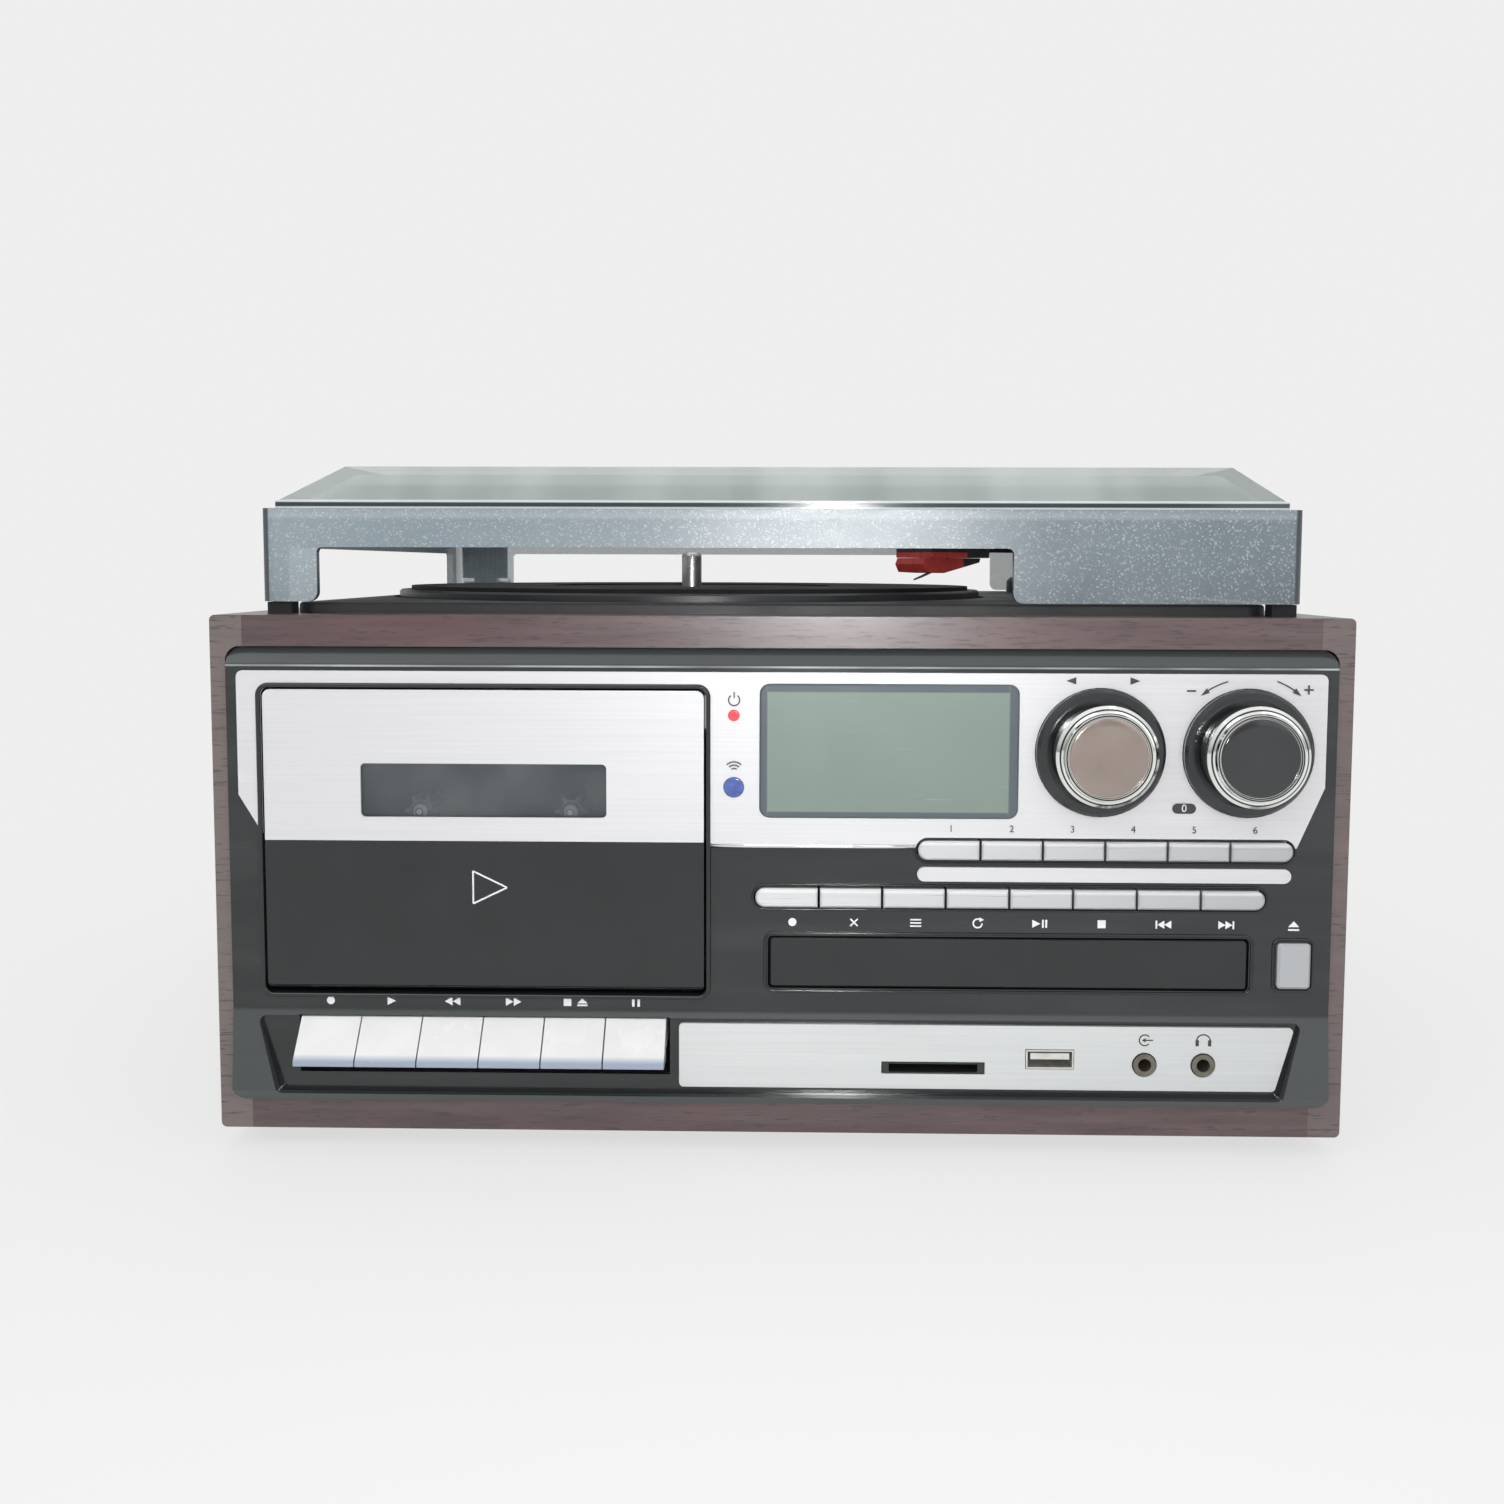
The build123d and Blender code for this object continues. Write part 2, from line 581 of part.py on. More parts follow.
# Cassette door: a shell round a cassette, rounded along its foot about the hinge line, with side guides
TAPE_HALF = 51.2
GUIDE_BACK = -106.0
DOOR_DEPTH = 9.0
DOOR_CORNER = 2.2
DOOR_WALL = 2.5
DOOR_FLOOR = 3.0
WINDOW_CORNER = 1.3
GUIDE_BOTTOM = 52.0
GUIDE_HEIGHT = 70.0
with BuildPart() as cassette_door:
    with BuildSketch(front_plane(DOOR_FACE)):
        with Locations((DOOR_X, DOOR_Z)):
            RectangleRounded(DOOR_WIDTH, DOOR_HEIGHT, DOOR_CORNER)
    extrude(amount=-DOOR_DEPTH)
    with BuildSketch(Plane.YZ.offset(DOOR_X)) as door_side:
        with Locations((DOOR_FACE + DOOR_DEPTH / 2, DOOR_Z)):
            Rectangle(DOOR_DEPTH, DOOR_HEIGHT)
        front_vertices = door_side.vertices().group_by(Axis.X)[0].sort_by(Axis.Y)
        fillet(front_vertices[0], DOOR_FLOOR)
    extrude(amount=DOOR_WIDTH, both=True, mode=Mode.INTERSECT)
    with BuildSketch(front_plane(DOOR_FACE + DOOR_DEPTH)):
        with Locations((DOOR_X, DOOR_Z)):
            Rectangle(DOOR_WIDTH - 2 * DOOR_WALL, DOOR_HEIGHT - 2 * DOOR_FLOOR)
    extrude(amount=DOOR_DEPTH - DOOR_FLOOR, mode=Mode.SUBTRACT)
    with BuildSketch(front_plane(DOOR_FACE + SKIN)):
        with Locations((DOOR_X, (DOOR_SPLIT + DOOR_TOP) / 2 + 1)):
            Rectangle(DOOR_WIDTH + 2, DOOR_TOP - DOOR_SPLIT + 2)
    extrude(amount=SKIN + 1, mode=Mode.SUBTRACT)
    with BuildSketch(front_plane(DOOR_FACE + 4)):
        with Locations((WINDOW[0], WINDOW[1])):
            RectangleRounded(WINDOW[2], WINDOW[3], WINDOW_CORNER)
    extrude(amount=5, mode=Mode.SUBTRACT)
    for side in (-1, 1):
        with BuildSketch(level(GUIDE_BOTTOM)):
            with Locations((REEL_X + side * (TAPE_HALF + 1), (DOOR_FACE + DOOR_FLOOR + GUIDE_BACK) / 2)):
                Rectangle(2, GUIDE_BACK - DOOR_FACE - DOOR_FLOOR)
            with Locations((REEL_X + side * (TAPE_HALF - 1), GUIDE_BACK - 1)):
                Rectangle(6, 2)
        extrude(amount=GUIDE_HEIGHT)
        with BuildSketch(level(GUIDE_BOTTOM + 2.5)):
            with Locations((REEL_X + side * (TAPE_HALF - 4), (DOOR_FACE + DOOR_FLOOR + GUIDE_BACK) / 2)):
                Rectangle(10, GUIDE_BACK - DOOR_FACE - DOOR_FLOOR)
        extrude(amount=2)
save(cassette_door.part, "cassette_door")

# Silver plate on the door's upper half
with BuildPart() as door_plate:
    with BuildSketch(front_plane(DOOR_FACE + SKIN)) as door_plate_outline:
        with Locations((DOOR_X, (DOOR_SPLIT + DOOR_TOP) / 2)):
            Rectangle(DOOR_WIDTH - 0.1, DOOR_TOP - DOOR_SPLIT)
        fillet(door_plate_outline.vertices().group_by(Axis.Y)[-1], 2.1)
        with Locations((WINDOW[0], WINDOW[1])):
            RectangleRounded(WINDOW[2], WINDOW[3], WINDOW_CORNER, mode=Mode.SUBTRACT)
    extrude(amount=SKIN)
save(door_plate.part, "door_plate")

# Smoked window, stepped into the door from behind
with BuildPart() as door_window:
    with BuildSketch(front_plane(DOOR_FACE + 3.0)):
        with Locations((WINDOW[0], WINDOW[1])):
            RectangleRounded(WINDOW[2] - 0.2, WINDOW[3] - 0.2, 1.2)
    extrude(amount=2.0)
    with BuildSketch(front_plane(DOOR_FACE + 3.0)):
        with Locations((WINDOW[0], WINDOW[1])):
            Rectangle(WINDOW[2] + 5, WINDOW[3] + 5)
    extrude(amount=-1.2)
save(door_window.part, "door_window")

# Cassette deck frame: an open bay with its head, roller and motor, and the brackets and rod of the keys
BAY_FRONT = -119.0
BAY_WALL = 2.0
BAY_LEFT = -139.0
BAY_RIGHT = -22.0
BAY_BOTTOM = 46.0
BAY_TOP = 128.0
BAY_X = (BAY_LEFT + BAY_RIGHT) / 2
BAY_Z = (BAY_BOTTOM + BAY_TOP) / 2
KEY_RIGHT = KEY_LEFT + 6 * KEY_PITCH
CAPSTAN_X = REEL_X + 17.0
CAPSTAN_Z = 64.5
CAPSTAN_RADIUS = 1.0
REEL_SHAFT = 1.5
with BuildPart() as cassette_frame:
    with BuildSketch(front_plane(BAY_BACK + BAY_WALL)):
        with Locations((BAY_X, BAY_Z)):
            Rectangle(BAY_RIGHT - BAY_LEFT, BAY_TOP - BAY_BOTTOM)
    extrude(amount=BAY_BACK + BAY_WALL - BAY_FRONT)
    with BuildSketch(front_plane(BAY_BACK)):
        with Locations((BAY_X, BAY_Z)):
            Rectangle(BAY_RIGHT - BAY_LEFT - 2 * BAY_WALL, BAY_TOP - BAY_BOTTOM - 2 * BAY_WALL)
    extrude(amount=BAY_BACK - BAY_FRONT, mode=Mode.SUBTRACT)
    with BuildSketch(front_plane(BAY_BACK)):
        with Locations((REEL_X, 53)):
            Rectangle(16, 9)
        with Locations((CAPSTAN_X + 2, 53)):
            Circle(5.5)
    extrude(amount=8)
    with BuildSketch(front_plane(BAY_BACK + BAY_WALL)):
        with Locations((REEL_X - 30, 66)):
            Circle(14)
    extrude(amount=-24)
    with BuildSketch(front_plane(BAY_BACK + BAY_WALL)):
        with Locations((REEL_X - REEL_HALF_PITCH, REEL_Z), (REEL_X + REEL_HALF_PITCH, REEL_Z)):
            Circle(REEL_SHAFT + RUN_GAP)
        with Locations((CAPSTAN_X, CAPSTAN_Z)):
            Circle(CAPSTAN_RADIUS + RUN_GAP)
    extrude(amount=BAY_WALL, mode=Mode.SUBTRACT)
    with BuildSketch(front_plane(KEY_AXIS_Y + 7)):
        with Locations((KEY_LEFT - 4, 37.5), (KEY_RIGHT + 4, 37.5)):
            Rectangle(2.4, 19)
    extrude(amount=14)
    with BuildSketch(Plane.YZ.offset(KEY_LEFT - 4)):
        with Locations((KEY_AXIS_Y, KEY_AXIS_Z)):
            Circle(KEY_ROD)
    extrude(amount=KEY_RIGHT - KEY_LEFT + 8)
save(cassette_frame.part, "cassette_frame")


def reel_hub(x):
    """Reel hub: six drive splines in front of the deck's back plate and a drive wheel behind it."""
    with BuildPart() as hub:
        with BuildSketch(front_plane(BAY_BACK - 1.0)):
            with Locations((x, REEL_Z)):
                Circle(3.3)
                with PolarLocations(0, 6):
                    with Locations((3.4, 0)):
                        Rectangle(2.4, 1.2)
        extrude(amount=13)
        with BuildSketch(front_plane(BAY_BACK - 14.0)):
            with Locations((x, REEL_Z)):
                Circle(2.6)
        extrude(amount=2.2, taper=30)
        with BuildSketch(front_plane(BAY_BACK - 1.0)):
            with Locations((x, REEL_Z)):
                Circle(REEL_SHAFT)
        extrude(amount=-(BAY_WALL + 1.4))
        with BuildSketch(front_plane(BAY_BACK + BAY_WALL + 0.4)):
            with Locations((x, REEL_Z)):
                Circle(10)
        extrude(amount=-3)
    return hub.part


save(reel_hub(REEL_X - REEL_HALF_PITCH), "reel_hub_left")
save(reel_hub(REEL_X + REEL_HALF_PITCH), "reel_hub_right")

# Capstan: a thin shaft in front of the back plate and a flywheel behind it
with BuildPart() as capstan:
    with BuildSketch(front_plane(BAY_BACK - 12)):
        with Locations((CAPSTAN_X, CAPSTAN_Z)):
            Circle(CAPSTAN_RADIUS)
    extrude(amount=-(12 + BAY_WALL + 0.5))
    with BuildSketch(front_plane(BAY_BACK + BAY_WALL + 0.5)):
        with Locations((CAPSTAN_X, CAPSTAN_Z)):
            Circle(15)
    extrude(amount=-6)
save(capstan.part, "capstan")

# Piano keys: wedge-faced levers on one rod
for index, key_name in enumerate(KEY_NAMES):
    key_middle = KEY_LEFT + (index + 0.5) * KEY_PITCH
    with BuildPart() as key:
        with BuildSketch(Plane.YZ.offset(key_middle)):
            with BuildLine():
                Polyline(
                    (PANEL_FACE + 0.4, 38.0),
                    (PANEL_FACE - 8.2, 28.0),
                    (PANEL_FACE - 8.2, 26.6),
                    (PANEL_FACE - 0.6, 26.6),
                    (PANEL_FACE - 0.6, 30.0),
                    (KEY_AXIS_Y + 4, 30.0),
                    (KEY_AXIS_Y + 4, 35.0),
                    (PANEL_FACE + 5.0, 35.0),
                    (PANEL_FACE + 5.0, 38.0),
                    close=True,
                )
            make_face()
            with Locations((KEY_AXIS_Y, KEY_AXIS_Z)):
                Circle(KEY_ROD + RUN_GAP, mode=Mode.SUBTRACT)
        extrude(amount=KEY_WIDTH / 2, both=True)
    save(key.part, f"key_{key_name}")

# Disc drawer: its front, and a tray with the two stepped disc recesses and the pickup's slot
DISC_RADIUS = 60.3
SMALL_DISC_RADIUS = 40.5
TRAY_TOP = 55.4
TRAY_BOTTOM = 48.6
TRAY_WIDTH = 124.0
TRAY_FRONT = PANEL_FACE + 3.0
TRAY_BACK = 8.0
DISC_Y = TRAY_FRONT + 64.0
RECESS_DEPTH = 2.0
SMALL_RECESS_DEPTH = 3.2
DRAWER_THICKNESS = 3.4
DRAWER_BEVEL = 0.5
with BuildPart() as disc_drawer:
    with BuildSketch(front_plane(TRAY_FRONT)):
        with Locations((DRAWER[0], DRAWER[1])):
            RectangleRounded(DRAWER[2], DRAWER[3], 1.2)
    extrude(amount=DRAWER_THICKNESS)
    chamfer(disc_drawer.faces().sort_by(Axis.Y)[0].edges(), DRAWER_BEVEL)
    with BuildSketch(level(TRAY_BOTTOM)):
        with Locations((DRAWER[0], (TRAY_FRONT + TRAY_BACK) / 2)):
            Rectangle(TRAY_WIDTH, TRAY_BACK - TRAY_FRONT)
    extrude(amount=TRAY_TOP - TRAY_BOTTOM)
    with BuildSketch(level(TRAY_TOP - RECESS_DEPTH)):
        with Locations((DRAWER[0], DISC_Y)):
            Circle(DISC_RADIUS)
    extrude(amount=RECESS_DEPTH, mode=Mode.SUBTRACT)
    with BuildSketch(level(TRAY_TOP - SMALL_RECESS_DEPTH)):
        with Locations((DRAWER[0], DISC_Y)):
            Circle(SMALL_DISC_RADIUS)
    extrude(amount=RECESS_DEPTH, mode=Mode.SUBTRACT)
    with BuildSketch(level(TRAY_BOTTOM)):
        with Locations((DRAWER[0], DISC_Y + 16)):
            SlotOverall(82, 38, rotation=90)
    extrude(amount=10, mode=Mode.SUBTRACT)
save(disc_drawer.part, "disc_drawer")

# Disc mechanism: the tunnel that the tray runs in, with the disc's drive hub below the tray
TUNNEL_BOTTOM = 44.8
TUNNEL_TOP = 62.0
TUNNEL_BACK = 14.0
TUNNEL_WALL = 1.6
TUNNEL_FRONT = -119.0
TUNNEL_WIDTH = 132.0
TRAY_RUN = 0.8
DISC_HUB_RADIUS = 12.0
with BuildPart() as disc_mechanism:
    with BuildSketch(front_plane(TUNNEL_BACK)):
        with Locations((DRAWER[0], (TUNNEL_BOTTOM + TUNNEL_TOP) / 2)):
            Rectangle(TUNNEL_WIDTH, TUNNEL_TOP - TUNNEL_BOTTOM)
    extrude(amount=TUNNEL_BACK - TUNNEL_FRONT)
    with BuildSketch(front_plane(TUNNEL_BACK - TUNNEL_WALL)):
        with Locations((DRAWER[0], (TUNNEL_BOTTOM + TUNNEL_TOP) / 2)):
            Rectangle(TUNNEL_WIDTH - 2 * TUNNEL_WALL, TUNNEL_TOP - TUNNEL_BOTTOM - 2 * TUNNEL_WALL)
    extrude(amount=TUNNEL_BACK - TUNNEL_FRONT, mode=Mode.SUBTRACT)
    with BuildSketch(level(TUNNEL_BOTTOM)):
        with Locations((DRAWER[0], DISC_Y)):
            Circle(DISC_HUB_RADIUS)
    extrude(amount=TRAY_BOTTOM - TUNNEL_BOTTOM - TRAY_RUN)
save(disc_mechanism.part, "disc_mechanism")

# Front sockets: two jacks, the serial bus socket with its tongue and the card slot
JACK_FACE = POCKET_FLOOR - 1.6
JACK_BARREL = 3.1
JACK_NECK = 6.0
JACK_DEPTH = 14.0
SOCKET_FACE = POCKET_FLOOR - 1.3
SOCKET_DEPTH = 15.0
SHELL_WALL = 0.4
with BuildPart() as front_sockets:
    for x in (LINE_IN_X, PHONES_X):
        with BuildSketch(front_plane(JACK_FACE)):
            with Locations((x, SOCKET_Z)):
                Circle(JACK_BARREL)
        extrude(amount=-JACK_NECK)
        with BuildSketch(front_plane(JACK_FACE + JACK_NECK)):
            with Locations((x, SOCKET_Z)):
                Rectangle(8.5, 7.5)
        extrude(amount=-10)
        with BuildSketch(front_plane(JACK_FACE)):
            with Locations((x, SOCKET_Z)):
                Circle(JACK_BORE)
        extrude(amount=-JACK_DEPTH, mode=Mode.SUBTRACT)
    with BuildSketch(front_plane(SOCKET_FACE)):
        with Locations((USB[0], USB[1])):
            Rectangle(USB[2], USB[3])
            Rectangle(USB[2] - 2 * SHELL_WALL, USB[3] - 2 * SHELL_WALL, mode=Mode.SUBTRACT)
        with Locations((USB[0], USB[1] + 0.9)):
            Rectangle(10.6, 1.7)
        with Locations((CARD[0], CARD[1])):
            Rectangle(CARD[2], CARD[3])
            Rectangle(24.4, 2.3, mode=Mode.SUBTRACT)
    extrude(amount=-SOCKET_DEPTH)
    with BuildSketch(front_plane(SOCKET_FACE + SOCKET_DEPTH)):
        with Locations((USB[0], USB[1])):
            Rectangle(USB[2], USB[3])
        with Locations((CARD[0], CARD[1])):
            Rectangle(CARD[2], CARD[3])
    extrude(amount=-3)
save(front_sockets.part, "front_sockets")

# Main board on posts, with the amplifier's heat sink, capacitors and the mains transformer
FLOOR = BASE + FLAT_BOARD
BOARD_Z = FLOOR + 6.0
BOARD_SURFACE = BOARD_Z + BOARD_THICKNESS
MAIN_BOARD = (20.0, 30.0, 190.0, 130.0)
POST_INSET = 7.0
POST_RADIUS = 3.0
SINK = (-50.0, 82.0, 60.0, 3.0)
SINK_FIN = (1.6, 10.0, 8.0, 8)
SINK_HEIGHT = 26.0
CAPACITOR_PLACES = [(0, 30), (22, 30), (0, 52), (22, 52)]
CAPACITOR_RADIUS = 8.0
CAPACITOR_HEIGHT = 17.0
TRANSFORMER = (85.0, 66.0)
CORE_HEIGHT = 34.0
COIL_HEIGHT = 22.0
with BuildPart() as main_board:
    with BuildSketch(level(BOARD_Z)):
        with Locations(MAIN_BOARD[:2]):
            Rectangle(MAIN_BOARD[2], MAIN_BOARD[3])
    extrude(amount=BOARD_THICKNESS)
    with BuildSketch(level(FLOOR)):
        with Locations(MAIN_BOARD[:2]):
            with GridLocations(MAIN_BOARD[2] - 2 * POST_INSET, MAIN_BOARD[3] - 2 * POST_INSET, 2, 2):
                Circle(POST_RADIUS)
    extrude(amount=BOARD_Z - FLOOR + 0.2)
    with BuildSketch(level(BOARD_SURFACE)):
        with Locations(SINK[:2]):
            Rectangle(SINK[2], SINK[3])
            with GridLocations(SINK_FIN[2], 1, SINK_FIN[3], 1):
                with Locations((0, -6)):
                    Rectangle(SINK_FIN[0], SINK_FIN[1])
    extrude(amount=SINK_HEIGHT)
    with BuildSketch(level(BOARD_SURFACE)):
        with Locations(*CAPACITOR_PLACES):
            Circle(CAPACITOR_RADIUS)
    extrude(amount=CAPACITOR_HEIGHT)
    with BuildSketch(level(BOARD_SURFACE)):
        with Locations(TRANSFORMER):
            Rectangle(56, 24)
    extrude(amount=CORE_HEIGHT)
    with BuildSketch(level(BOARD_SURFACE + (CORE_HEIGHT - COIL_HEIGHT) / 2)):
        with Locations(TRANSFORMER):
            Rectangle(38, 46)
    extrude(amount=COIL_HEIGHT)
save(main_board.part, "main_board")

# Rear sockets: two pairs of phono sockets on one block, and the figure-eight mains inlet
REAR_FACE = BACK - 0.4
PHONO_BLOCK_DEPTH = 12.0
PHONO_LENGTH = 7.8
PHONO_BORE = 1.65
INLET_DEPTH = 22.0
INLET_BORE_DEPTH = 14.0
INLET_PIN = 1.2
INLET_PIN_HALF_PITCH = 3.3
with BuildPart() as rear_sockets:
    with BuildSketch(front_plane(REAR_FACE)):
        with Locations((PHONO_X, PHONO_Z)):
            Rectangle(4 * PHONO_PITCH, PHONO_BLOCK_HEIGHT)
    extrude(amount=PHONO_BLOCK_DEPTH)
    with BuildSketch(front_plane(REAR_FACE)):
        with Locations((PHONO_X, PHONO_Z)):
            with GridLocations(PHONO_PITCH, 1, 4, 1):
                Circle(PHONO_RADIUS)
    extrude(amount=-PHONO_LENGTH)
    with BuildSketch(front_plane(REAR_FACE + PHONO_LENGTH)):
        with Locations((PHONO_X, PHONO_Z)):
            with GridLocations(PHONO_PITCH, 1, 4, 1):
                Circle(PHONO_BORE)
    extrude(amount=PHONO_BLOCK_DEPTH, mode=Mode.SUBTRACT)
    with BuildSketch(front_plane(REAR_FACE)):
        with Locations((INLET_X, INLET_Z)):
            Rectangle(INLET_WIDTH, INLET_HEIGHT)
    extrude(amount=INLET_DEPTH)
    with BuildSketch(front_plane(REAR_FACE)):
        with Locations((INLET_X, INLET_Z)):
            SlotOverall(15.6, 7.8)
    extrude(amount=INLET_BORE_DEPTH, mode=Mode.SUBTRACT)
    with BuildSketch(front_plane(REAR_FACE - INLET_BORE_DEPTH)):
        with Locations((INLET_X - INLET_PIN_HALF_PITCH, INLET_Z), (INLET_X + INLET_PIN_HALF_PITCH, INLET_Z)):
            Circle(INLET_PIN)
    extrude(amount=-10)
save(rear_sockets.part, "rear_sockets")

# Deck plate: a flange on the cabinet top, the platter's well with the belt trough, and the bearings. The arm
# rest and the lever's ears stand on it as solids of their own.
ARM_REST = (124.1, -10.0)
SELECTOR = (112.0, -86.0)
SELECTOR_TRAVEL = 6.0
LEVER_X = 125.0
LEVER_Y = 46.0
LEVER_Z = DECK_TOP + 5.0
SKIRT_BOTTOM = TOP - 6.0
SKIRT_WIDTH = DECK_WIDTH - 24.0
SKIRT_DEPTH = DECK_DEPTH - 28.0
TURRET_SHAFT = 5.0
DECK_RIB = 2.0
DECK_BEVEL = 0.6
HUB_BOSS = 8.0
HUB_BOSS_DEPTH = 14.0
ARM_BOSS = 12.0
REST_WIDTH = 7.0
REST_DEPTH = 8.0
PRONG_WIDTH = 2.6
PRONG_SHIFT = 5.4
EAR_SHIFT = 4.5
EAR_THICKNESS = 1.8
LEVER_PIN = 1.5


def trough(margin):
    """Outline round the platter's drive ring and the motor pulley, drawn at a margin from both."""
    with Locations((SPINDLE_X, SPINDLE_Y)):
        Circle(HUB_RADIUS + margin)
    with Locations((PULLEY_X, PULLEY_Y)):
        Circle(PULLEY_RADIUS + margin)
    make_hull()


with BuildPart() as deck_plate:
    with BuildSketch(level(TOP)):
        with Locations((0, DECK_Y)):
            RectangleRounded(DECK_WIDTH, DECK_DEPTH, DECK_CORNER)
    extrude(amount=DECK_TOP - TOP)
    chamfer(deck_plate.faces().sort_by(Axis.Z)[-1].edges(), DECK_BEVEL)
    with BuildSketch(level(SKIRT_BOTTOM)):
        with Locations((0, DECK_Y)):
            Rectangle(SKIRT_WIDTH, SKIRT_DEPTH)
            Rectangle(SKIRT_WIDTH - 2 * DECK_RIB, SKIRT_DEPTH - 2 * DECK_RIB, mode=Mode.SUBTRACT)
    extrude(amount=TOP - SKIRT_BOTTOM)
    with BuildSketch(level(TROUGH_FLOOR - 2)):
        trough(7)
    extrude(amount=TOP - TROUGH_FLOOR + 2)
    with BuildSketch(level(SKIRT_BOTTOM)):
        with Locations((ARM_X, ARM_Y)):
            Circle(ARM_BOSS)
        with Locations(SELECTOR):
            Rectangle(26, 9)
    extrude(amount=TOP - SKIRT_BOTTOM)
    with BuildSketch(level(WELL_FLOOR)):
        with Locations((SPINDLE_X, SPINDLE_Y)):
            Circle(PLATTER_RADIUS + 2)
    extrude(amount=5, mode=Mode.SUBTRACT)
    with BuildSketch(level(TROUGH_FLOOR)):
        trough(5)
    extrude(amount=10, mode=Mode.SUBTRACT)
    with BuildSketch(level(TROUGH_FLOOR - HUB_BOSS_DEPTH)):
        with Locations((SPINDLE_X, SPINDLE_Y)):
            Circle(HUB_BOSS)
    extrude(amount=HUB_BOSS_DEPTH + 3)
    with BuildSketch(level(TROUGH_FLOOR - 12)):
        with Locations((SPINDLE_X, SPINDLE_Y)):
            Circle(SPINDLE_RADIUS + RUN_GAP)
    extrude(amount=20, mode=Mode.SUBTRACT)
    with BuildSketch(level(TROUGH_FLOOR - 2)):
        with Locations((PULLEY_X, PULLEY_Y)):
            Circle(3)
    extrude(amount=3, mode=Mode.SUBTRACT)
    with BuildSketch(level(SKIRT_BOTTOM)):
        with Locations((ARM_X, ARM_Y)):
            Circle(TURRET_SHAFT + RUN_GAP)
        with Locations(SELECTOR):
            Rectangle(4 + 2 * SELECTOR_TRAVEL + 2, 4.4)
    extrude(amount=20, mode=Mode.SUBTRACT)
    with BuildSketch(level(DECK_TOP)):
        with Locations(ARM_REST):
            Rectangle(REST_WIDTH, REST_DEPTH)
    extrude(amount=ARM_Z - 4.0 - DECK_TOP)
    with BuildSketch(level(DECK_TOP)):
        with Locations((ARM_REST[0] + PRONG_SHIFT, ARM_REST[1])):
            Rectangle(PRONG_WIDTH, REST_DEPTH)
    extrude(amount=ARM_Z + 2 - DECK_TOP)
    for side in (-1, 1):
        with BuildSketch(Plane.YZ.offset(LEVER_X + side * EAR_SHIFT)):
            with Locations((LEVER_Y, DECK_TOP + 2.5)):
                Rectangle(7, 5)
            with Locations((LEVER_Y, LEVER_Z)):
                Circle(3.5)
                Circle(LEVER_PIN + RUN_GAP, mode=Mode.SUBTRACT)
        extrude(amount=EAR_THICKNESS / 2, both=True)
    split(bisect_by=level(DECK_TOP), keep=Keep.BOTH)
save(deck_plate.part, "deck_plate")

# Platter: a dished disc with a lip, its centre boss, and the drive ring below it
with BuildPart() as platter:
    with BuildSketch(Plane.XZ.offset(-SPINDLE_Y)):
        with BuildLine():
            Polyline(
                (SPINDLE_X + SPINDLE_RADIUS + RUN_GAP, PLATTER_TOP - 0.4),
                (SPINDLE_X + PLATTER_RADIUS - 3.5, PLATTER_TOP - 0.4),
                (SPINDLE_X + PLATTER_RADIUS - 3.0, PLATTER_TOP),
                (SPINDLE_X + PLATTER_RADIUS - 0.6, PLATTER_TOP),
                (SPINDLE_X + PLATTER_RADIUS, PLATTER_TOP - 0.6),
                (SPINDLE_X + PLATTER_RADIUS, PLATTER_BOTTOM + 1.4),
                (SPINDLE_X + PLATTER_RADIUS - 3.0, PLATTER_BOTTOM),
                (SPINDLE_X + PLATTER_RADIUS - 5.0, PLATTER_BOTTOM),
                (SPINDLE_X + PLATTER_RADIUS - 5.0, PLATTER_TOP - 2.4),
                (SPINDLE_X + HUB_RADIUS, PLATTER_TOP - 2.4),
                (SPINDLE_X + HUB_RADIUS, TROUGH_FLOOR + 2.6),
                (SPINDLE_X + HUB_RADIUS - 3, TROUGH_FLOOR + 2.6),
                (SPINDLE_X + HUB_RADIUS - 3, PLATTER_TOP - 2.4),
                (SPINDLE_X + 10, PLATTER_TOP - 2.4),
                (SPINDLE_X + 10, TROUGH_FLOOR + 4.0),
                (SPINDLE_X + SPINDLE_RADIUS + RUN_GAP, TROUGH_FLOOR + 4.0),
                close=True,
            )
        make_face()
    revolve(axis=Axis((SPINDLE_X, SPINDLE_Y, 0), (0, 0, 1)))
save(platter.part, "platter")

# Mat: a flat ring with a raised label edge
with BuildPart() as platter_mat:
    with BuildSketch(level(PLATTER_TOP - 0.4)):
        with Locations((SPINDLE_X, SPINDLE_Y)):
            Circle(PLATTER_RADIUS - 4)
            Circle(SPINDLE_RADIUS + 0.6, mode=Mode.SUBTRACT)
    extrude(amount=MAT_TOP - PLATTER_TOP + 0.4)
    with BuildSketch(level(MAT_TOP - 0.5)):
        with Locations((SPINDLE_X, SPINDLE_Y)):
            Circle(50)
            Circle(SPINDLE_RADIUS + 0.6, mode=Mode.SUBTRACT)
    extrude(amount=1, mode=Mode.SUBTRACT)
save(platter_mat.part, "platter_mat")

# Spindle: a steel shaft with a domed end
with BuildPart() as spindle:
    with BuildSketch(level(TROUGH_FLOOR - 11.5)):
        with Locations((SPINDLE_X, SPINDLE_Y)):
            Circle(SPINDLE_RADIUS)
    extrude(amount=SPINDLE_TOP - TROUGH_FLOOR + 11.5)
    fillet(spindle.faces().sort_by(Axis.Z)[-1].edges(), 1.6)
save(spindle.part, "spindle")

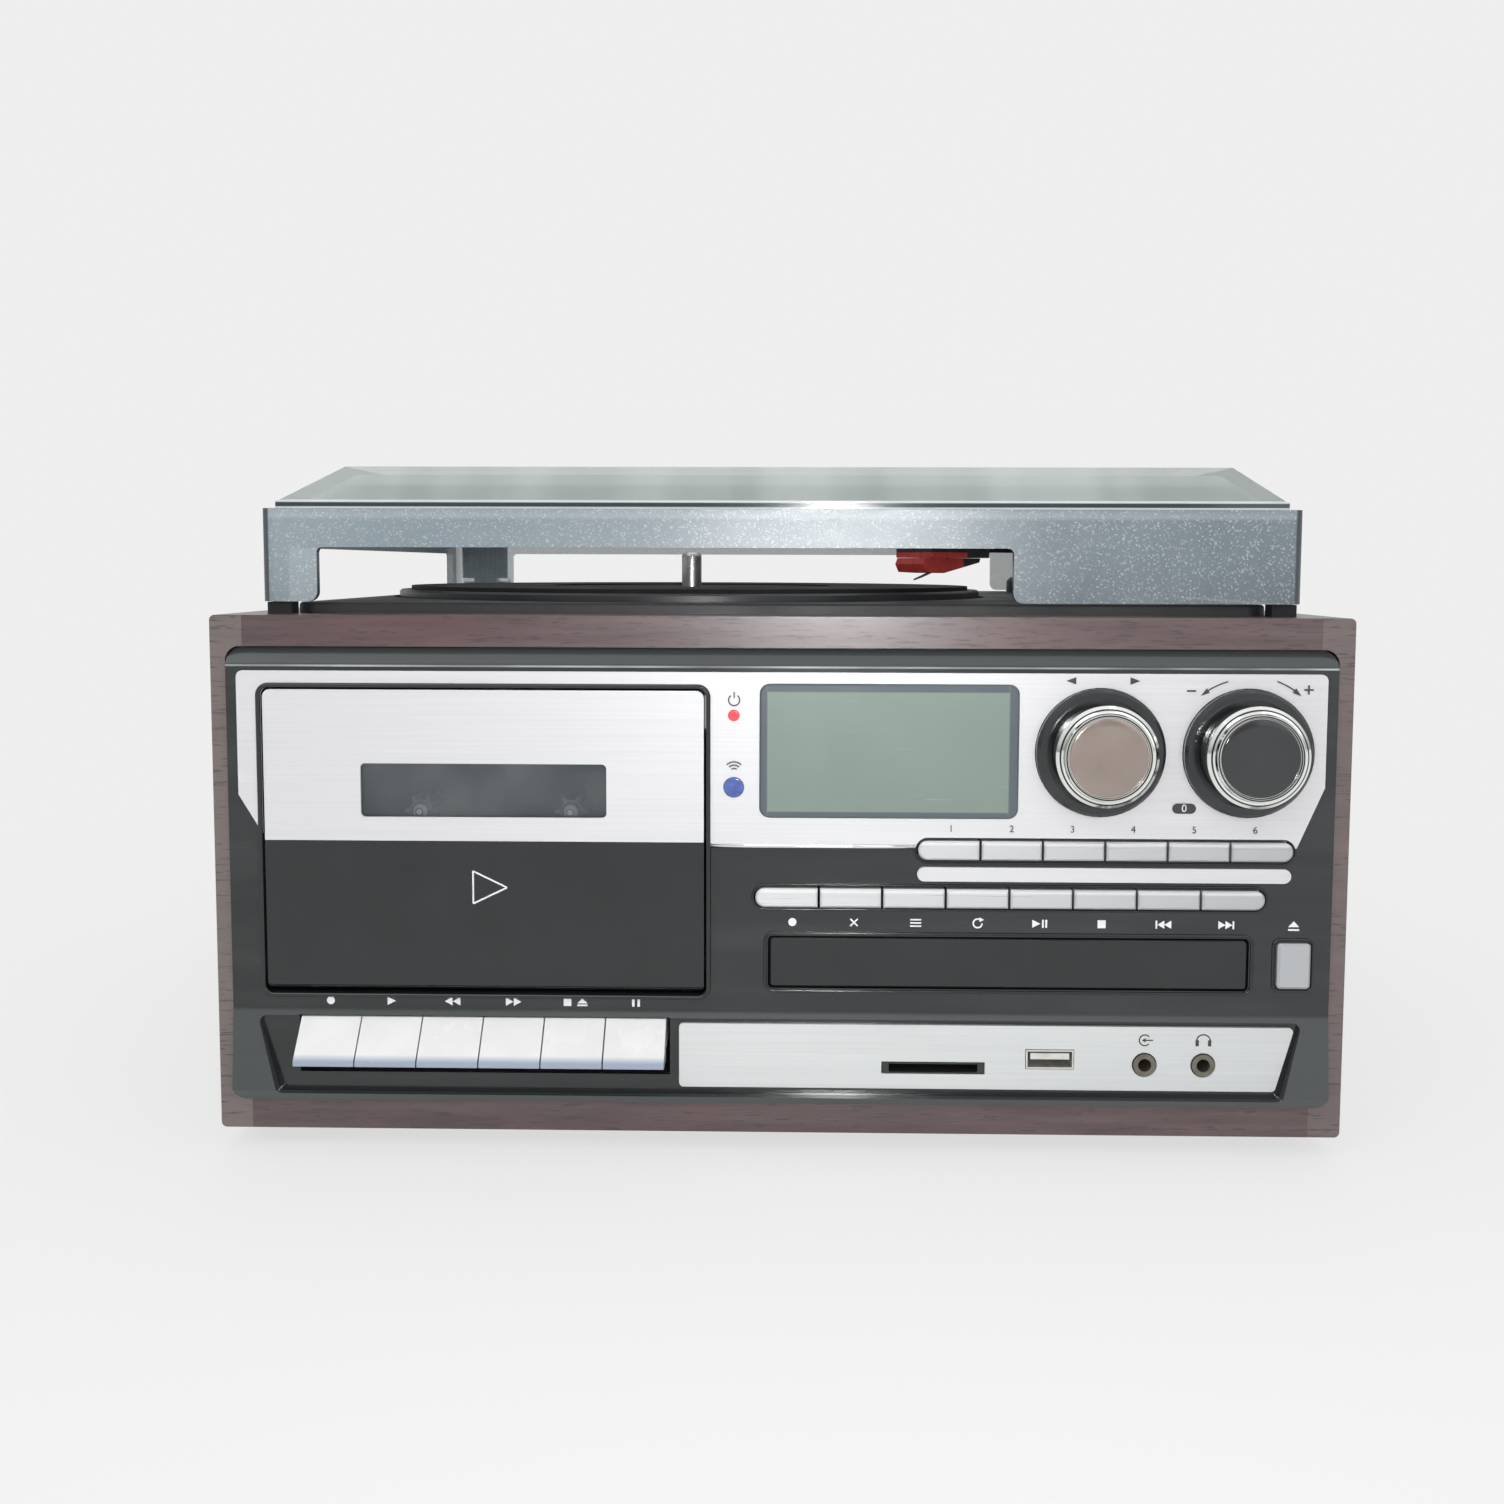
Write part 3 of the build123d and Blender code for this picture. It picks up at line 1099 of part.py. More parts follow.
# Platter motor under the deck, its pulley above the trough floor, and the flat belt
MOTOR_TOP = TROUGH_FLOOR - 2.4
MOTOR_HEIGHT = 26.0
MOTOR_RADIUS = 16.0
MOTOR_SHAFT = 1.0
BELT_THICKNESS = 0.8
BELT_HEIGHT = 3.6
BELT_Z = TROUGH_FLOOR + 3.0
with BuildPart() as platter_motor:
    with BuildSketch(level(MOTOR_TOP - MOTOR_HEIGHT)):
        with Locations((PULLEY_X, PULLEY_Y)):
            Circle(MOTOR_RADIUS)
    extrude(amount=MOTOR_HEIGHT)
    fillet(platter_motor.edges().filter_by(GeomType.CIRCLE), 1.5)
    with BuildSketch(level(MOTOR_TOP - 15)):
        with Locations((PULLEY_X, PULLEY_Y)):
            Circle(MOTOR_SHAFT + RUN_GAP)
    extrude(amount=15, mode=Mode.SUBTRACT)
save(platter_motor.part, "platter_motor")
with BuildPart() as motor_pulley:
    with BuildSketch(level(MOTOR_TOP - 14)):
        with Locations((PULLEY_X, PULLEY_Y)):
            Circle(MOTOR_SHAFT)
    extrude(amount=20)
    with BuildSketch(level(TROUGH_FLOOR + 1)):
        with Locations((PULLEY_X, PULLEY_Y)):
            Circle(PULLEY_RADIUS)
    extrude(amount=6.6)
save(motor_pulley.part, "motor_pulley")
with BuildPart() as drive_belt:
    with BuildSketch(level(BELT_Z)):
        trough(BELT_GAP + BELT_THICKNESS)
    extrude(amount=BELT_HEIGHT)
    with BuildSketch(level(BELT_Z)):
        trough(BELT_GAP)
    extrude(amount=BELT_HEIGHT, mode=Mode.SUBTRACT)
save(drive_belt.part, "drive_belt")

# Arm turret: turns in the deck plate and carries the arm between two cheeks
arm_frame = Plane(origin=(ARM_X, ARM_Y, ARM_Z)).rotated((0, 0, ARM_TURN))
CHEEK_INNER = 6.0
CHEEK_THICKNESS = 3.0
TURRET_RADIUS = 13.0
TURRET_BASE = DECK_TOP + 0.3
TURRET_DRUM = TURRET_BASE + 6.0
TURRET_SHOULDER = TURRET_DRUM + 5.0
ARM_PIN = 1.2
with BuildPart() as arm_turret:
    with BuildSketch(level(SKIRT_BOTTOM + 1)):
        with Locations((ARM_X, ARM_Y)):
            Circle(TURRET_SHAFT)
    extrude(amount=DECK_TOP - SKIRT_BOTTOM)
    with BuildSketch(level(TURRET_BASE)):
        with Locations((ARM_X, ARM_Y)):
            Circle(TURRET_RADIUS)
    extrude(amount=TURRET_DRUM - TURRET_BASE)
    chamfer(arm_turret.faces().sort_by(Axis.Z)[-1].edges(), 1.5)
    with BuildSketch(level(TURRET_DRUM)):
        with Locations((ARM_X, ARM_Y)):
            Circle(10)
    extrude(amount=TURRET_SHOULDER - TURRET_DRUM)
    for side in (-1, 1):
        with BuildSketch(arm_frame.offset(TURRET_SHOULDER - ARM_Z)):
            with Locations((side * (CHEEK_INNER + CHEEK_THICKNESS / 2), 0)):
                Rectangle(CHEEK_THICKNESS, 10)
        extrude(amount=ARM_Z + 4.5 - TURRET_SHOULDER)
    with BuildSketch(Plane(arm_frame.origin, x_dir=arm_frame.y_dir, z_dir=arm_frame.x_dir)):
        Circle(ARM_PIN + RUN_GAP)
    extrude(amount=20, both=True, mode=Mode.SUBTRACT)
save(arm_turret.part, "arm_turret")

# Tonearm: hub with its cross pin, bent tube, headshell with a finger lift, and counterweight
TUBE_RADIUS = 3.4
TUBE_BEND = 12.0
TUBE_BACK = 16.0
WEIGHT_RADIUS = 10.0
WEIGHT_LENGTH = 16.0
stylus_point = Vector(0, -ARM_LENGTH)
head_dir = Vector(-math.sin(math.radians(HEAD_OFFSET)), -math.cos(math.radians(HEAD_OFFSET)))
bend_point = stylus_point - head_dir * HEAD_REACH
tube_end = bend_point + head_dir * 16
head_frame = Plane(
    origin=arm_frame.from_local_coords(Vector(bend_point.X, bend_point.Y, 0)),
    x_dir=arm_frame.from_local_coords(Vector(head_dir.X, head_dir.Y, 0)) - arm_frame.origin,
    z_dir=(0, 0, 1),
)
with BuildPart() as tonearm:
    with BuildLine(arm_frame) as tube_path:
        FilletPolyline(
            (0, TUBE_BACK, 0),
            (0, -2, 0),
            (bend_point.X, bend_point.Y, 0),
            (tube_end.X, tube_end.Y, 0),
            radius=TUBE_BEND,
        )
    with BuildSketch(Plane(origin=tube_path.line @ 0, z_dir=tube_path.line % 0)):
        Circle(TUBE_RADIUS)
    sweep()
    with BuildSketch(arm_frame.offset(-4.2)):
        Rectangle(2 * CHEEK_INNER - 1.0, 12)
    extrude(amount=8.4)
    with BuildSketch(Plane(arm_frame.origin, x_dir=arm_frame.y_dir, z_dir=arm_frame.x_dir)):
        Circle(ARM_PIN)
    extrude(amount=CHEEK_INNER + 2.6, both=True)
    weight_origin = arm_frame.from_local_coords(Vector(0, TUBE_BACK, 0))
    with BuildSketch(Plane(weight_origin, x_dir=arm_frame.x_dir, z_dir=arm_frame.y_dir)):
        Circle(WEIGHT_RADIUS)
    extrude(amount=WEIGHT_LENGTH)
    chamfer(tonearm.edges().filter_by(GeomType.CIRCLE).sort_by(SortBy.LENGTH)[-2:], 1.2)
    with BuildSketch(head_frame.offset(1.2)):
        with BuildLine():
            Polyline(
                (10, -4.5),
                (20, -8.5),
                (53, -8.5),
                (55, -6),
                (55, 6),
                (53, 8.5),
                (20, 8.5),
                (10, 4.5),
                close=True,
            )
        make_face()
        with Locations((47, 12.5)):
            SlotOverall(14, 3, rotation=60)
    extrude(amount=2.4)
save(tonearm.part, "tonearm")

# Cartridge under the headshell, with its stylus guard as a second solid
with BuildPart() as cartridge:
    with BuildSketch(head_frame.offset(-5.2)):
        with Locations((38, 0)):
            Rectangle(27, 14.5)
    extrude(amount=6.4)
    with BuildSketch(Plane(head_frame.origin, x_dir=head_frame.x_dir, z_dir=-head_frame.y_dir)):
        with BuildLine():
            Polyline(
                (27, -5.3),
                (52.5, -5.3),
                (53.5, -7.2),
                (52.0, -9.6),
                (44, -9.9),
                (27.5, -6.6),
                close=True,
            )
        make_face()
    extrude(amount=5.8, both=True)
save(cartridge.part, "cartridge")

# Cue lever on its cross pin, and the speed selector's slider
with BuildPart() as cue_lever:
    with BuildSketch(Plane.YZ.offset(LEVER_X)):
        with Locations((LEVER_Y, LEVER_Z)):
            Circle(3.2)
    extrude(amount=3.0, both=True)
    with BuildSketch(Plane.YZ.offset(LEVER_X)):
        with Locations((LEVER_Y, LEVER_Z)):
            Circle(LEVER_PIN)
    extrude(amount=5.4, both=True)
    with BuildSketch(Plane.YZ.offset(LEVER_X)):
        with BuildLine():
            Polyline(
                (LEVER_Y, LEVER_Z - 1.2),
                (LEVER_Y - 17, LEVER_Z + 1.6),
                (LEVER_Y - 20, LEVER_Z + 4.4),
                (LEVER_Y - 16, LEVER_Z + 4.2),
                (LEVER_Y, LEVER_Z + 1.6),
                close=True,
            )
        make_face()
    extrude(amount=2.2, both=True)
save(cue_lever.part, "cue_lever")
with BuildPart() as speed_selector:
    with BuildSketch(level(TOP - 2)):
        with Locations(SELECTOR):
            Rectangle(4, 4)
    extrude(amount=DECK_TOP - TOP + 2.4)
    with BuildSketch(level(DECK_TOP + 0.3)):
        with Locations(SELECTOR):
            RectangleRounded(9, 7, 1.5)
    extrude(amount=3, taper=12)
save(speed_selector.part, "speed_selector")


def cover_body(inset, bottom, drop):
    """Walls, shoulder step and bevelled crown of the cover, drawn in by an inset and down by a drop."""
    with BuildPart() as body:
        with BuildSketch(level(bottom)):
            with Locations((0, COVER_MID)):
                RectangleRounded(COVER_WIDTH - 2 * inset, COVER_DEPTH - 2 * inset, COVER_CORNER - inset)
        extrude(amount=COVER_SHOULDER - drop - bottom)
        with BuildSketch(level(COVER_SHOULDER - drop)):
            with Locations((0, COVER_MID)):
                Rectangle(COVER_WIDTH - LEDGE - 2 * inset, COVER_DEPTH - LEDGE - 2 * inset)
        extrude(amount=COVER_STEP - COVER_SHOULDER)
        with BuildSketch(level(COVER_STEP - drop)):
            with Locations((0, COVER_MID)):
                Rectangle(COVER_WIDTH - LEDGE - 1 - 2 * inset, COVER_DEPTH - LEDGE - 1 - 2 * inset)
        with BuildSketch(level(COVER_CROWN - drop)):
            with Locations((CROWN_SHIFT, COVER_MID - 1)):
                Rectangle(COVER_WIDTH - 2 * (CROWN_SIDE + inset), COVER_DEPTH - 2 * (CROWN_END + inset))
        loft(ruled=True)
    return body.part


def wall_notch(plane, first, last):
    """Cutter for a notch in one wall, open at the bottom, with rounded corners at its top and its feet."""
    across = (first + last) / 2
    with BuildPart() as cutter:
        with BuildSketch(plane) as outline:
            with Locations((across, (COVER_BOTTOM + NOTCH_TOP) / 2)):
                Rectangle(last - first, NOTCH_TOP - COVER_BOTTOM)
            fillet(outline.vertices().group_by(Axis.Z)[-1], NOTCH_CORNER)
            with Locations((across, COVER_BOTTOM)):
                Rectangle(last - first + 2 * POST_CORNER, 2 * POST_CORNER)
                with GridLocations(last - first + 2 * POST_CORNER, 1, 2, 1):
                    with Locations((0, POST_CORNER)):
                        Circle(POST_CORNER, mode=Mode.SUBTRACT)
        extrude(amount=-3 * COVER_WALL)
    return cutter.part


# Dust cover: clear walls with open notches where a long disc overhangs the platter, the shoulder ring bonded on
# them as a second solid, and the crown bonded on the ring as a third
with BuildPart() as dust_cover:
    add(cover_body(0, COVER_BOTTOM, 0))
    add(cover_body(COVER_WALL, COVER_BOTTOM, CROWN_WALL), mode=Mode.SUBTRACT)
    add(wall_notch(front_plane(COVER_FRONT - COVER_WALL), *FRONT_NOTCH), mode=Mode.SUBTRACT)
    add(wall_notch(front_plane(COVER_BACK - 2 * COVER_WALL), *REAR_NOTCH), mode=Mode.SUBTRACT)
    side_plane = Plane.YZ.offset(-COVER_WIDTH / 2 + 2 * COVER_WALL)
    side_start = SPINDLE_Y - SIDE_NOTCH / 2
    add(wall_notch(side_plane, side_start, side_start + SIDE_NOTCH), mode=Mode.SUBTRACT)
    split(bisect_by=level(COVER_SHOULDER - CROWN_WALL), keep=Keep.BOTH)
    split(bisect_by=level(COVER_SHOULDER), keep=Keep.BOTH)
save(dust_cover.part, "dust_cover")

# Hinges: brackets with riveted pins on the cabinet's back edge, and leaves on the cover
with BuildPart() as hinge_brackets:
    for side in (-1, 1):
        with BuildSketch(Plane.YZ.offset(side * HINGE_X)):
            with Locations((BACK + 1, TOP - 5)):
                Rectangle(2, 10)
        extrude(amount=HINGE_WIDTH / 2, both=True)
        for end in (-1, 1):
            with BuildSketch(Plane.YZ.offset(side * HINGE_X + end * 7.6)):
                with Locations((HINGE_Y, HINGE_Z)):
                    Circle(KNUCKLE_RADIUS)
                with BuildLine():
                    Polyline(
                        (BACK, TOP - 6),
                        (BACK + 2, TOP - 6),
                        (HINGE_Y + KNUCKLE_RADIUS, HINGE_Z),
                        (HINGE_Y - KNUCKLE_RADIUS, HINGE_Z),
                        (BACK, TOP),
                        close=True,
                    )
                make_face()
            extrude(amount=2.4, both=True)
        with BuildSketch(Plane.YZ.offset(side * HINGE_X)):
            with Locations((HINGE_Y, HINGE_Z)):
                Circle(PIN_RADIUS)
        extrude(amount=HINGE_WIDTH / 2, both=True)
save(hinge_brackets.part, "hinge_brackets")
with BuildPart() as hinge_leaves:
    for side in (-1, 1):
        with BuildSketch(Plane.YZ.offset(side * HINGE_X)):
            with Locations((BACK - 1, HINGE_Z + 11.5)):
                Rectangle(2, 15)
        extrude(amount=HINGE_WIDTH / 2, both=True)
        with BuildSketch(Plane.YZ.offset(side * HINGE_X)):
            with Locations((HINGE_Y, HINGE_Z)):
                Circle(KNUCKLE_RADIUS)
            with BuildLine():
                Polyline(
                    (BACK - 2, HINGE_Z + 4),
                    (BACK - 2, HINGE_Z + 12),
                    (BACK, HINGE_Z + 12),
                    (HINGE_Y + 2.2, HINGE_Z + 3.1),
                    (HINGE_Y - 3.6, HINGE_Z + 0.6),
                    close=True,
                )
            make_face()
            with Locations((HINGE_Y, HINGE_Z)):
                Circle(PIN_RADIUS + RUN_GAP, mode=Mode.SUBTRACT)
        extrude(amount=4.8, both=True)
save(hinge_leaves.part, "hinge_leaves")
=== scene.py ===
import math

import bmesh
import bpy
from mathutils import Matrix, Vector


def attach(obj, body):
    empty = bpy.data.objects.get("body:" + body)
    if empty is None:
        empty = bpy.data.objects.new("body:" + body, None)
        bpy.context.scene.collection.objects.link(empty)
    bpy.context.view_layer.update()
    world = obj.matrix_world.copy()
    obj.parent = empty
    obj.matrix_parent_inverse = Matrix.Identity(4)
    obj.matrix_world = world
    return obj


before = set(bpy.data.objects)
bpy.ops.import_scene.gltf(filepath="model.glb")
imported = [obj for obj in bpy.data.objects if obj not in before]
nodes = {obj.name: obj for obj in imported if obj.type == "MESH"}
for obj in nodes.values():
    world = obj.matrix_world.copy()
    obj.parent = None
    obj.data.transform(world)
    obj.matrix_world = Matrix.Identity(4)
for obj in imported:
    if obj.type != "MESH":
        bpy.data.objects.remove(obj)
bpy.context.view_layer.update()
MM = 0.001

# ---------------------------------------------------------------- camera, lights and backdrop
FOCAL_PIXELS = 1480.7
FRAME_PIXELS = 1504.0
CENTRE_PIXEL = (757.5, 680.3)
EYE = (1.9, -527.1, 162.6)
PITCH = 4.411
YAW = 1.080
ROLL = 0.157
PAGE = (0.858, 0.858, 0.855)
FLOOR_SHARE = 0.70
FLOOR_GLOW = 1.07
FLOOR_NEAR = 0.22
FLOOR_FAR = 0.62


def look_matrix():
    """The camera's world matrix from its eye, pitch, yaw and roll."""
    pitch = math.radians(PITCH)
    yaw = math.radians(YAW)
    roll = math.radians(ROLL)
    right = Vector((math.cos(yaw), math.sin(yaw), 0))
    ahead = Vector((-math.sin(yaw), math.cos(yaw), 0))
    up = Vector((0, 0, 1))
    forward = ahead * math.cos(pitch) - up * math.sin(pitch)
    raised = ahead * math.sin(pitch) + up * math.cos(pitch)
    side = right * math.cos(roll) + raised * math.sin(roll)
    top = raised * math.cos(roll) - right * math.sin(roll)
    matrix = Matrix((side, top, -forward)).transposed().to_4x4()
    matrix.translation = Vector(EYE) * MM
    return matrix


def make_camera():
    data = bpy.data.cameras.new("camera")
    data.sensor_fit = "HORIZONTAL"
    data.sensor_width = 36.0
    data.lens = FOCAL_PIXELS / FRAME_PIXELS * 36.0
    data.shift_x = (FRAME_PIXELS / 2 - CENTRE_PIXEL[0]) / FRAME_PIXELS
    data.shift_y = -(FRAME_PIXELS / 2 - CENTRE_PIXEL[1]) / FRAME_PIXELS
    data.clip_start = 0.01
    data.clip_end = 60.0
    camera = bpy.data.objects.new("camera", data)
    bpy.context.scene.collection.objects.link(camera)
    camera.matrix_world = look_matrix()
    bpy.context.scene.camera = camera


def area_lamp(name, place, target, size, watts, tint=(1, 1, 1)):
    data = bpy.data.lights.new(name, "AREA")
    data.shape = "RECTANGLE"
    data.size = size[0]
    data.size_y = size[1]
    data.energy = watts
    data.color = tint
    lamp = bpy.data.objects.new(name, data)
    bpy.context.scene.collection.objects.link(lamp)
    lamp.location = place
    lamp.rotation_euler = (Vector(target) - Vector(place)).to_track_quat("-Z", "Y").to_euler()
    return lamp


def make_world():
    """White page for the camera and glass; for gloss, a sky that darkens downwards; for light, a soft grey sky."""
    world = bpy.data.worlds.new("studio")
    bpy.context.scene.world = world
    world.use_nodes = True
    tree = world.node_tree
    tree.nodes.clear()
    out = tree.nodes.new("ShaderNodeOutputWorld")
    page = tree.nodes.new("ShaderNodeBackground")
    page.inputs["Color"].default_value = (*PAGE, 1)
    page.inputs["Strength"].default_value = 1.0
    sky = tree.nodes.new("ShaderNodeBackground")
    sky.inputs["Strength"].default_value = 0.62
    sky.inputs["Color"].default_value = (1, 1, 1, 1)
    room = tree.nodes.new("ShaderNodeBackground")
    room.inputs["Strength"].default_value = 1.0
    coords = tree.nodes.new("ShaderNodeTexCoord")
    split = tree.nodes.new("ShaderNodeSeparateXYZ")
    tree.links.new(coords.outputs["Generated"], split.inputs[0])
    height = tree.nodes.new("ShaderNodeValToRGB")
    ramp = height.color_ramp
    ramp.elements[0].position = 0.0
    ramp.elements[0].color = (0.30, 0.30, 0.30, 1)
    ramp.elements[1].position = 0.75
    ramp.elements[1].color = (1.0, 1.0, 1.0, 1)
    middle = ramp.elements.new(0.22)
    middle.color = (0.62, 0.63, 0.64, 1)
    tree.links.new(split.outputs["Z"], height.inputs["Fac"])
    tree.links.new(height.outputs["Color"], room.inputs["Color"])
    path = tree.nodes.new("ShaderNodeLightPath")
    lit = tree.nodes.new("ShaderNodeMixShader")
    shown = tree.nodes.new("ShaderNodeMixShader")
    seen = tree.nodes.new("ShaderNodeMath")
    seen.operation = "MAXIMUM"
    tree.links.new(path.outputs["Is Camera Ray"], seen.inputs[0])
    tree.links.new(path.outputs["Is Transmission Ray"], seen.inputs[1])
    tree.links.new(path.outputs["Is Glossy Ray"], lit.inputs["Fac"])
    tree.links.new(sky.outputs[0], lit.inputs[1])
    tree.links.new(room.outputs[0], lit.inputs[2])
    tree.links.new(seen.outputs[0], shown.inputs["Fac"])
    tree.links.new(lit.outputs[0], shown.inputs[1])
    tree.links.new(page.outputs[0], shown.inputs[2])
    tree.links.new(shown.outputs[0], out.inputs["Surface"])


def make_floor():
    """Pale floor: part plain page colour, part lit, so that it keeps the shadow."""
    mesh = bpy.data.meshes.new("floor")
    reach = 25.0
    mesh.from_pydata([(-reach, -reach, 0), (reach, -reach, 0), (reach, reach, 0), (-reach, reach, 0)],
                     [], [(0, 1, 2, 3)])
    floor = bpy.data.objects.new("floor", mesh)
    bpy.context.scene.collection.objects.link(floor)
    material = bpy.data.materials.new("floor")
    material.use_nodes = True
    tree = material.node_tree
    tree.nodes.clear()
    out = tree.nodes.new("ShaderNodeOutputMaterial")
    lit = tree.nodes.new("ShaderNodeBsdfDiffuse")
    lit.inputs["Color"].default_value = (0.80, 0.80, 0.80, 1)
    glow = tree.nodes.new("ShaderNodeEmission")
    glow.inputs["Color"].default_value = (*PAGE, 1)
    glow.inputs["Strength"].default_value = FLOOR_GLOW
    near = tree.nodes.new("ShaderNodeMixShader")
    near.inputs["Fac"].default_value = FLOOR_SHARE
    tree.links.new(lit.outputs[0], near.inputs[1])
    tree.links.new(glow.outputs[0], near.inputs[2])
    page = tree.nodes.new("ShaderNodeEmission")
    page.inputs["Color"].default_value = (*PAGE, 1)
    place = tree.nodes.new("ShaderNodeTexCoord")
    distance = tree.nodes.new("ShaderNodeVectorMath")
    distance.operation = "LENGTH"
    tree.links.new(place.outputs["Object"], distance.inputs[0])
    fade = tree.nodes.new("ShaderNodeMapRange")
    fade.interpolation_type = "SMOOTHSTEP"
    fade.inputs["From Min"].default_value = FLOOR_NEAR
    fade.inputs["From Max"].default_value = FLOOR_FAR
    tree.links.new(distance.outputs["Value"], fade.inputs["Value"])
    mix = tree.nodes.new("ShaderNodeMixShader")
    tree.links.new(fade.outputs["Result"], mix.inputs["Fac"])
    tree.links.new(near.outputs[0], mix.inputs[1])
    tree.links.new(page.outputs[0], mix.inputs[2])
    dim = tree.nodes.new("ShaderNodeMixShader")
    path = tree.nodes.new("ShaderNodeLightPath")
    tree.links.new(path.outputs["Is Diffuse Ray"], dim.inputs["Fac"])
    tree.links.new(mix.outputs[0], dim.inputs[1])
    tree.links.new(lit.outputs[0], dim.inputs[2])
    tree.links.new(dim.outputs[0], out.inputs["Surface"])
    mesh.materials.append(material)


bpy.context.scene.view_settings.view_transform = "Standard"
make_camera()
make_world()
make_floor()
area_lamp("key", (-0.7, -1.5, 1.5), (0, 0, 0.08), (1.6, 1.2), 9.5)
area_lamp("fill", (1.1, -1.4, 0.7), (0, 0, 0.08), (1.4, 1.2), 4.0)
area_lamp("top", (0.1, 0.5, 1.7), (0, 0, 0.1), (1.6, 1.4), 5.5)
area_lamp("flash", (0.03, -0.56, 0.175), (0.02, 0, 0.15), (0.03, 0.02), 0.68)


# ---------------------------------------------------------------- materials
TUNING_X = 86.8
VOLUME_X = 126.4
KNOB_Z = 112.7
REEL_CENTRES = (-100.75, -58.25)
REEL_Z = 93.5


class Paint:
    """A Principled material with short calls for the textures that feed it."""

    def __init__(self, name, color, roughness, metallic=0.0, coat=0.0, coat_roughness=0.08,
                 specular=0.5, alpha=1.0):
        self.material = bpy.data.materials.new(name)
        self.material.use_nodes = True
        self.tree = self.material.node_tree
        self.shader = self.tree.nodes["Principled BSDF"]
        self.set("Base Color", (*color, 1))
        self.set("Roughness", roughness)
        self.set("Metallic", metallic)
        self.set("Coat Weight", coat)
        self.set("Coat Roughness", coat_roughness)
        self.set("Specular IOR Level", specular)
        self.set("Alpha", alpha)
        self.place = self.node("ShaderNodeTexCoord").outputs["Object"]
        self.facing = self.tree.nodes["Texture Coordinate"].outputs["Normal"]

    def node(self, kind, **values):
        made = self.tree.nodes.new(kind)
        for key, value in values.items():
            setattr(made, key, value)
        return made

    def set(self, socket, value):
        self.shader.inputs[socket].default_value = value

    def feed(self, socket, source):
        self.tree.links.new(source, self.shader.inputs[socket])

    def put(self, value, socket):
        if hasattr(value, "links"):
            self.tree.links.new(value, socket)
        else:
            socket.default_value = value

    def stretched(self, scale):
        mapping = self.node("ShaderNodeMapping")
        mapping.inputs["Scale"].default_value = scale
        self.put(self.place, mapping.inputs["Vector"])
        return mapping.outputs[0]

    def noise(self, scale, detail=3.0, rough=0.55, stretch=(1, 1, 1), shift=0.0):
        made = self.node("ShaderNodeTexNoise")
        made.noise_dimensions = "4D"
        made.inputs["Scale"].default_value = scale
        made.inputs["Detail"].default_value = detail
        made.inputs["Roughness"].default_value = rough
        made.inputs["W"].default_value = shift
        self.put(self.stretched(stretch), made.inputs["Vector"])
        return made.outputs["Fac"]

    def cells(self, scale, stretch=(1, 1, 1), feature="F1"):
        made = self.node("ShaderNodeTexVoronoi", feature=feature)
        made.inputs["Scale"].default_value = scale
        self.put(self.stretched(stretch), made.inputs["Vector"])
        return made

    def math(self, operation, first, second=0.0, third=0.0):
        made = self.node("ShaderNodeMath", operation=operation)
        self.put(first, made.inputs[0])
        self.put(second, made.inputs[1])
        self.put(third, made.inputs[2])
        return made.outputs[0]

    def span(self, value, low, high, to_low=0.0, to_high=1.0):
        made = self.node("ShaderNodeMapRange")
        made.clamp = True
        self.put(value, made.inputs["Value"])
        made.inputs["From Min"].default_value = low
        made.inputs["From Max"].default_value = high
        made.inputs["To Min"].default_value = to_low
        made.inputs["To Max"].default_value = to_high
        return made.outputs[0]

    def split(self, vector):
        made = self.node("ShaderNodeSeparateXYZ")
        self.put(vector, made.inputs[0])
        return made.outputs

    def blend(self, factor, first, second):
        made = self.node("ShaderNodeMix", data_type="RGBA")
        self.put(factor, made.inputs["Factor"])
        self.put(first if hasattr(first, "links") else (*first, 1), made.inputs[6])
        self.put(second if hasattr(second, "links") else (*second, 1), made.inputs[7])
        return made.outputs[2]

    def bump(self, height, strength, distance=0.0002, under=None):
        made = self.node("ShaderNodeBump")
        made.inputs["Strength"].default_value = strength
        made.inputs["Distance"].default_value = distance
        self.put(height, made.inputs["Height"])
        if under is not None:
            self.put(under, made.inputs["Normal"])
        self.feed("Normal", made.outputs[0])
        return made.outputs[0]

    def worn(self, amount, scale=40.0):
        """Uneven polish: roughness that wanders with a coarse noise."""
        base = self.shader.inputs["Roughness"].default_value
        drift = self.noise(scale, detail=4.0)
        self.feed("Roughness", self.span(drift, 0.3, 0.7, max(base - amount, 0.02), base + amount))


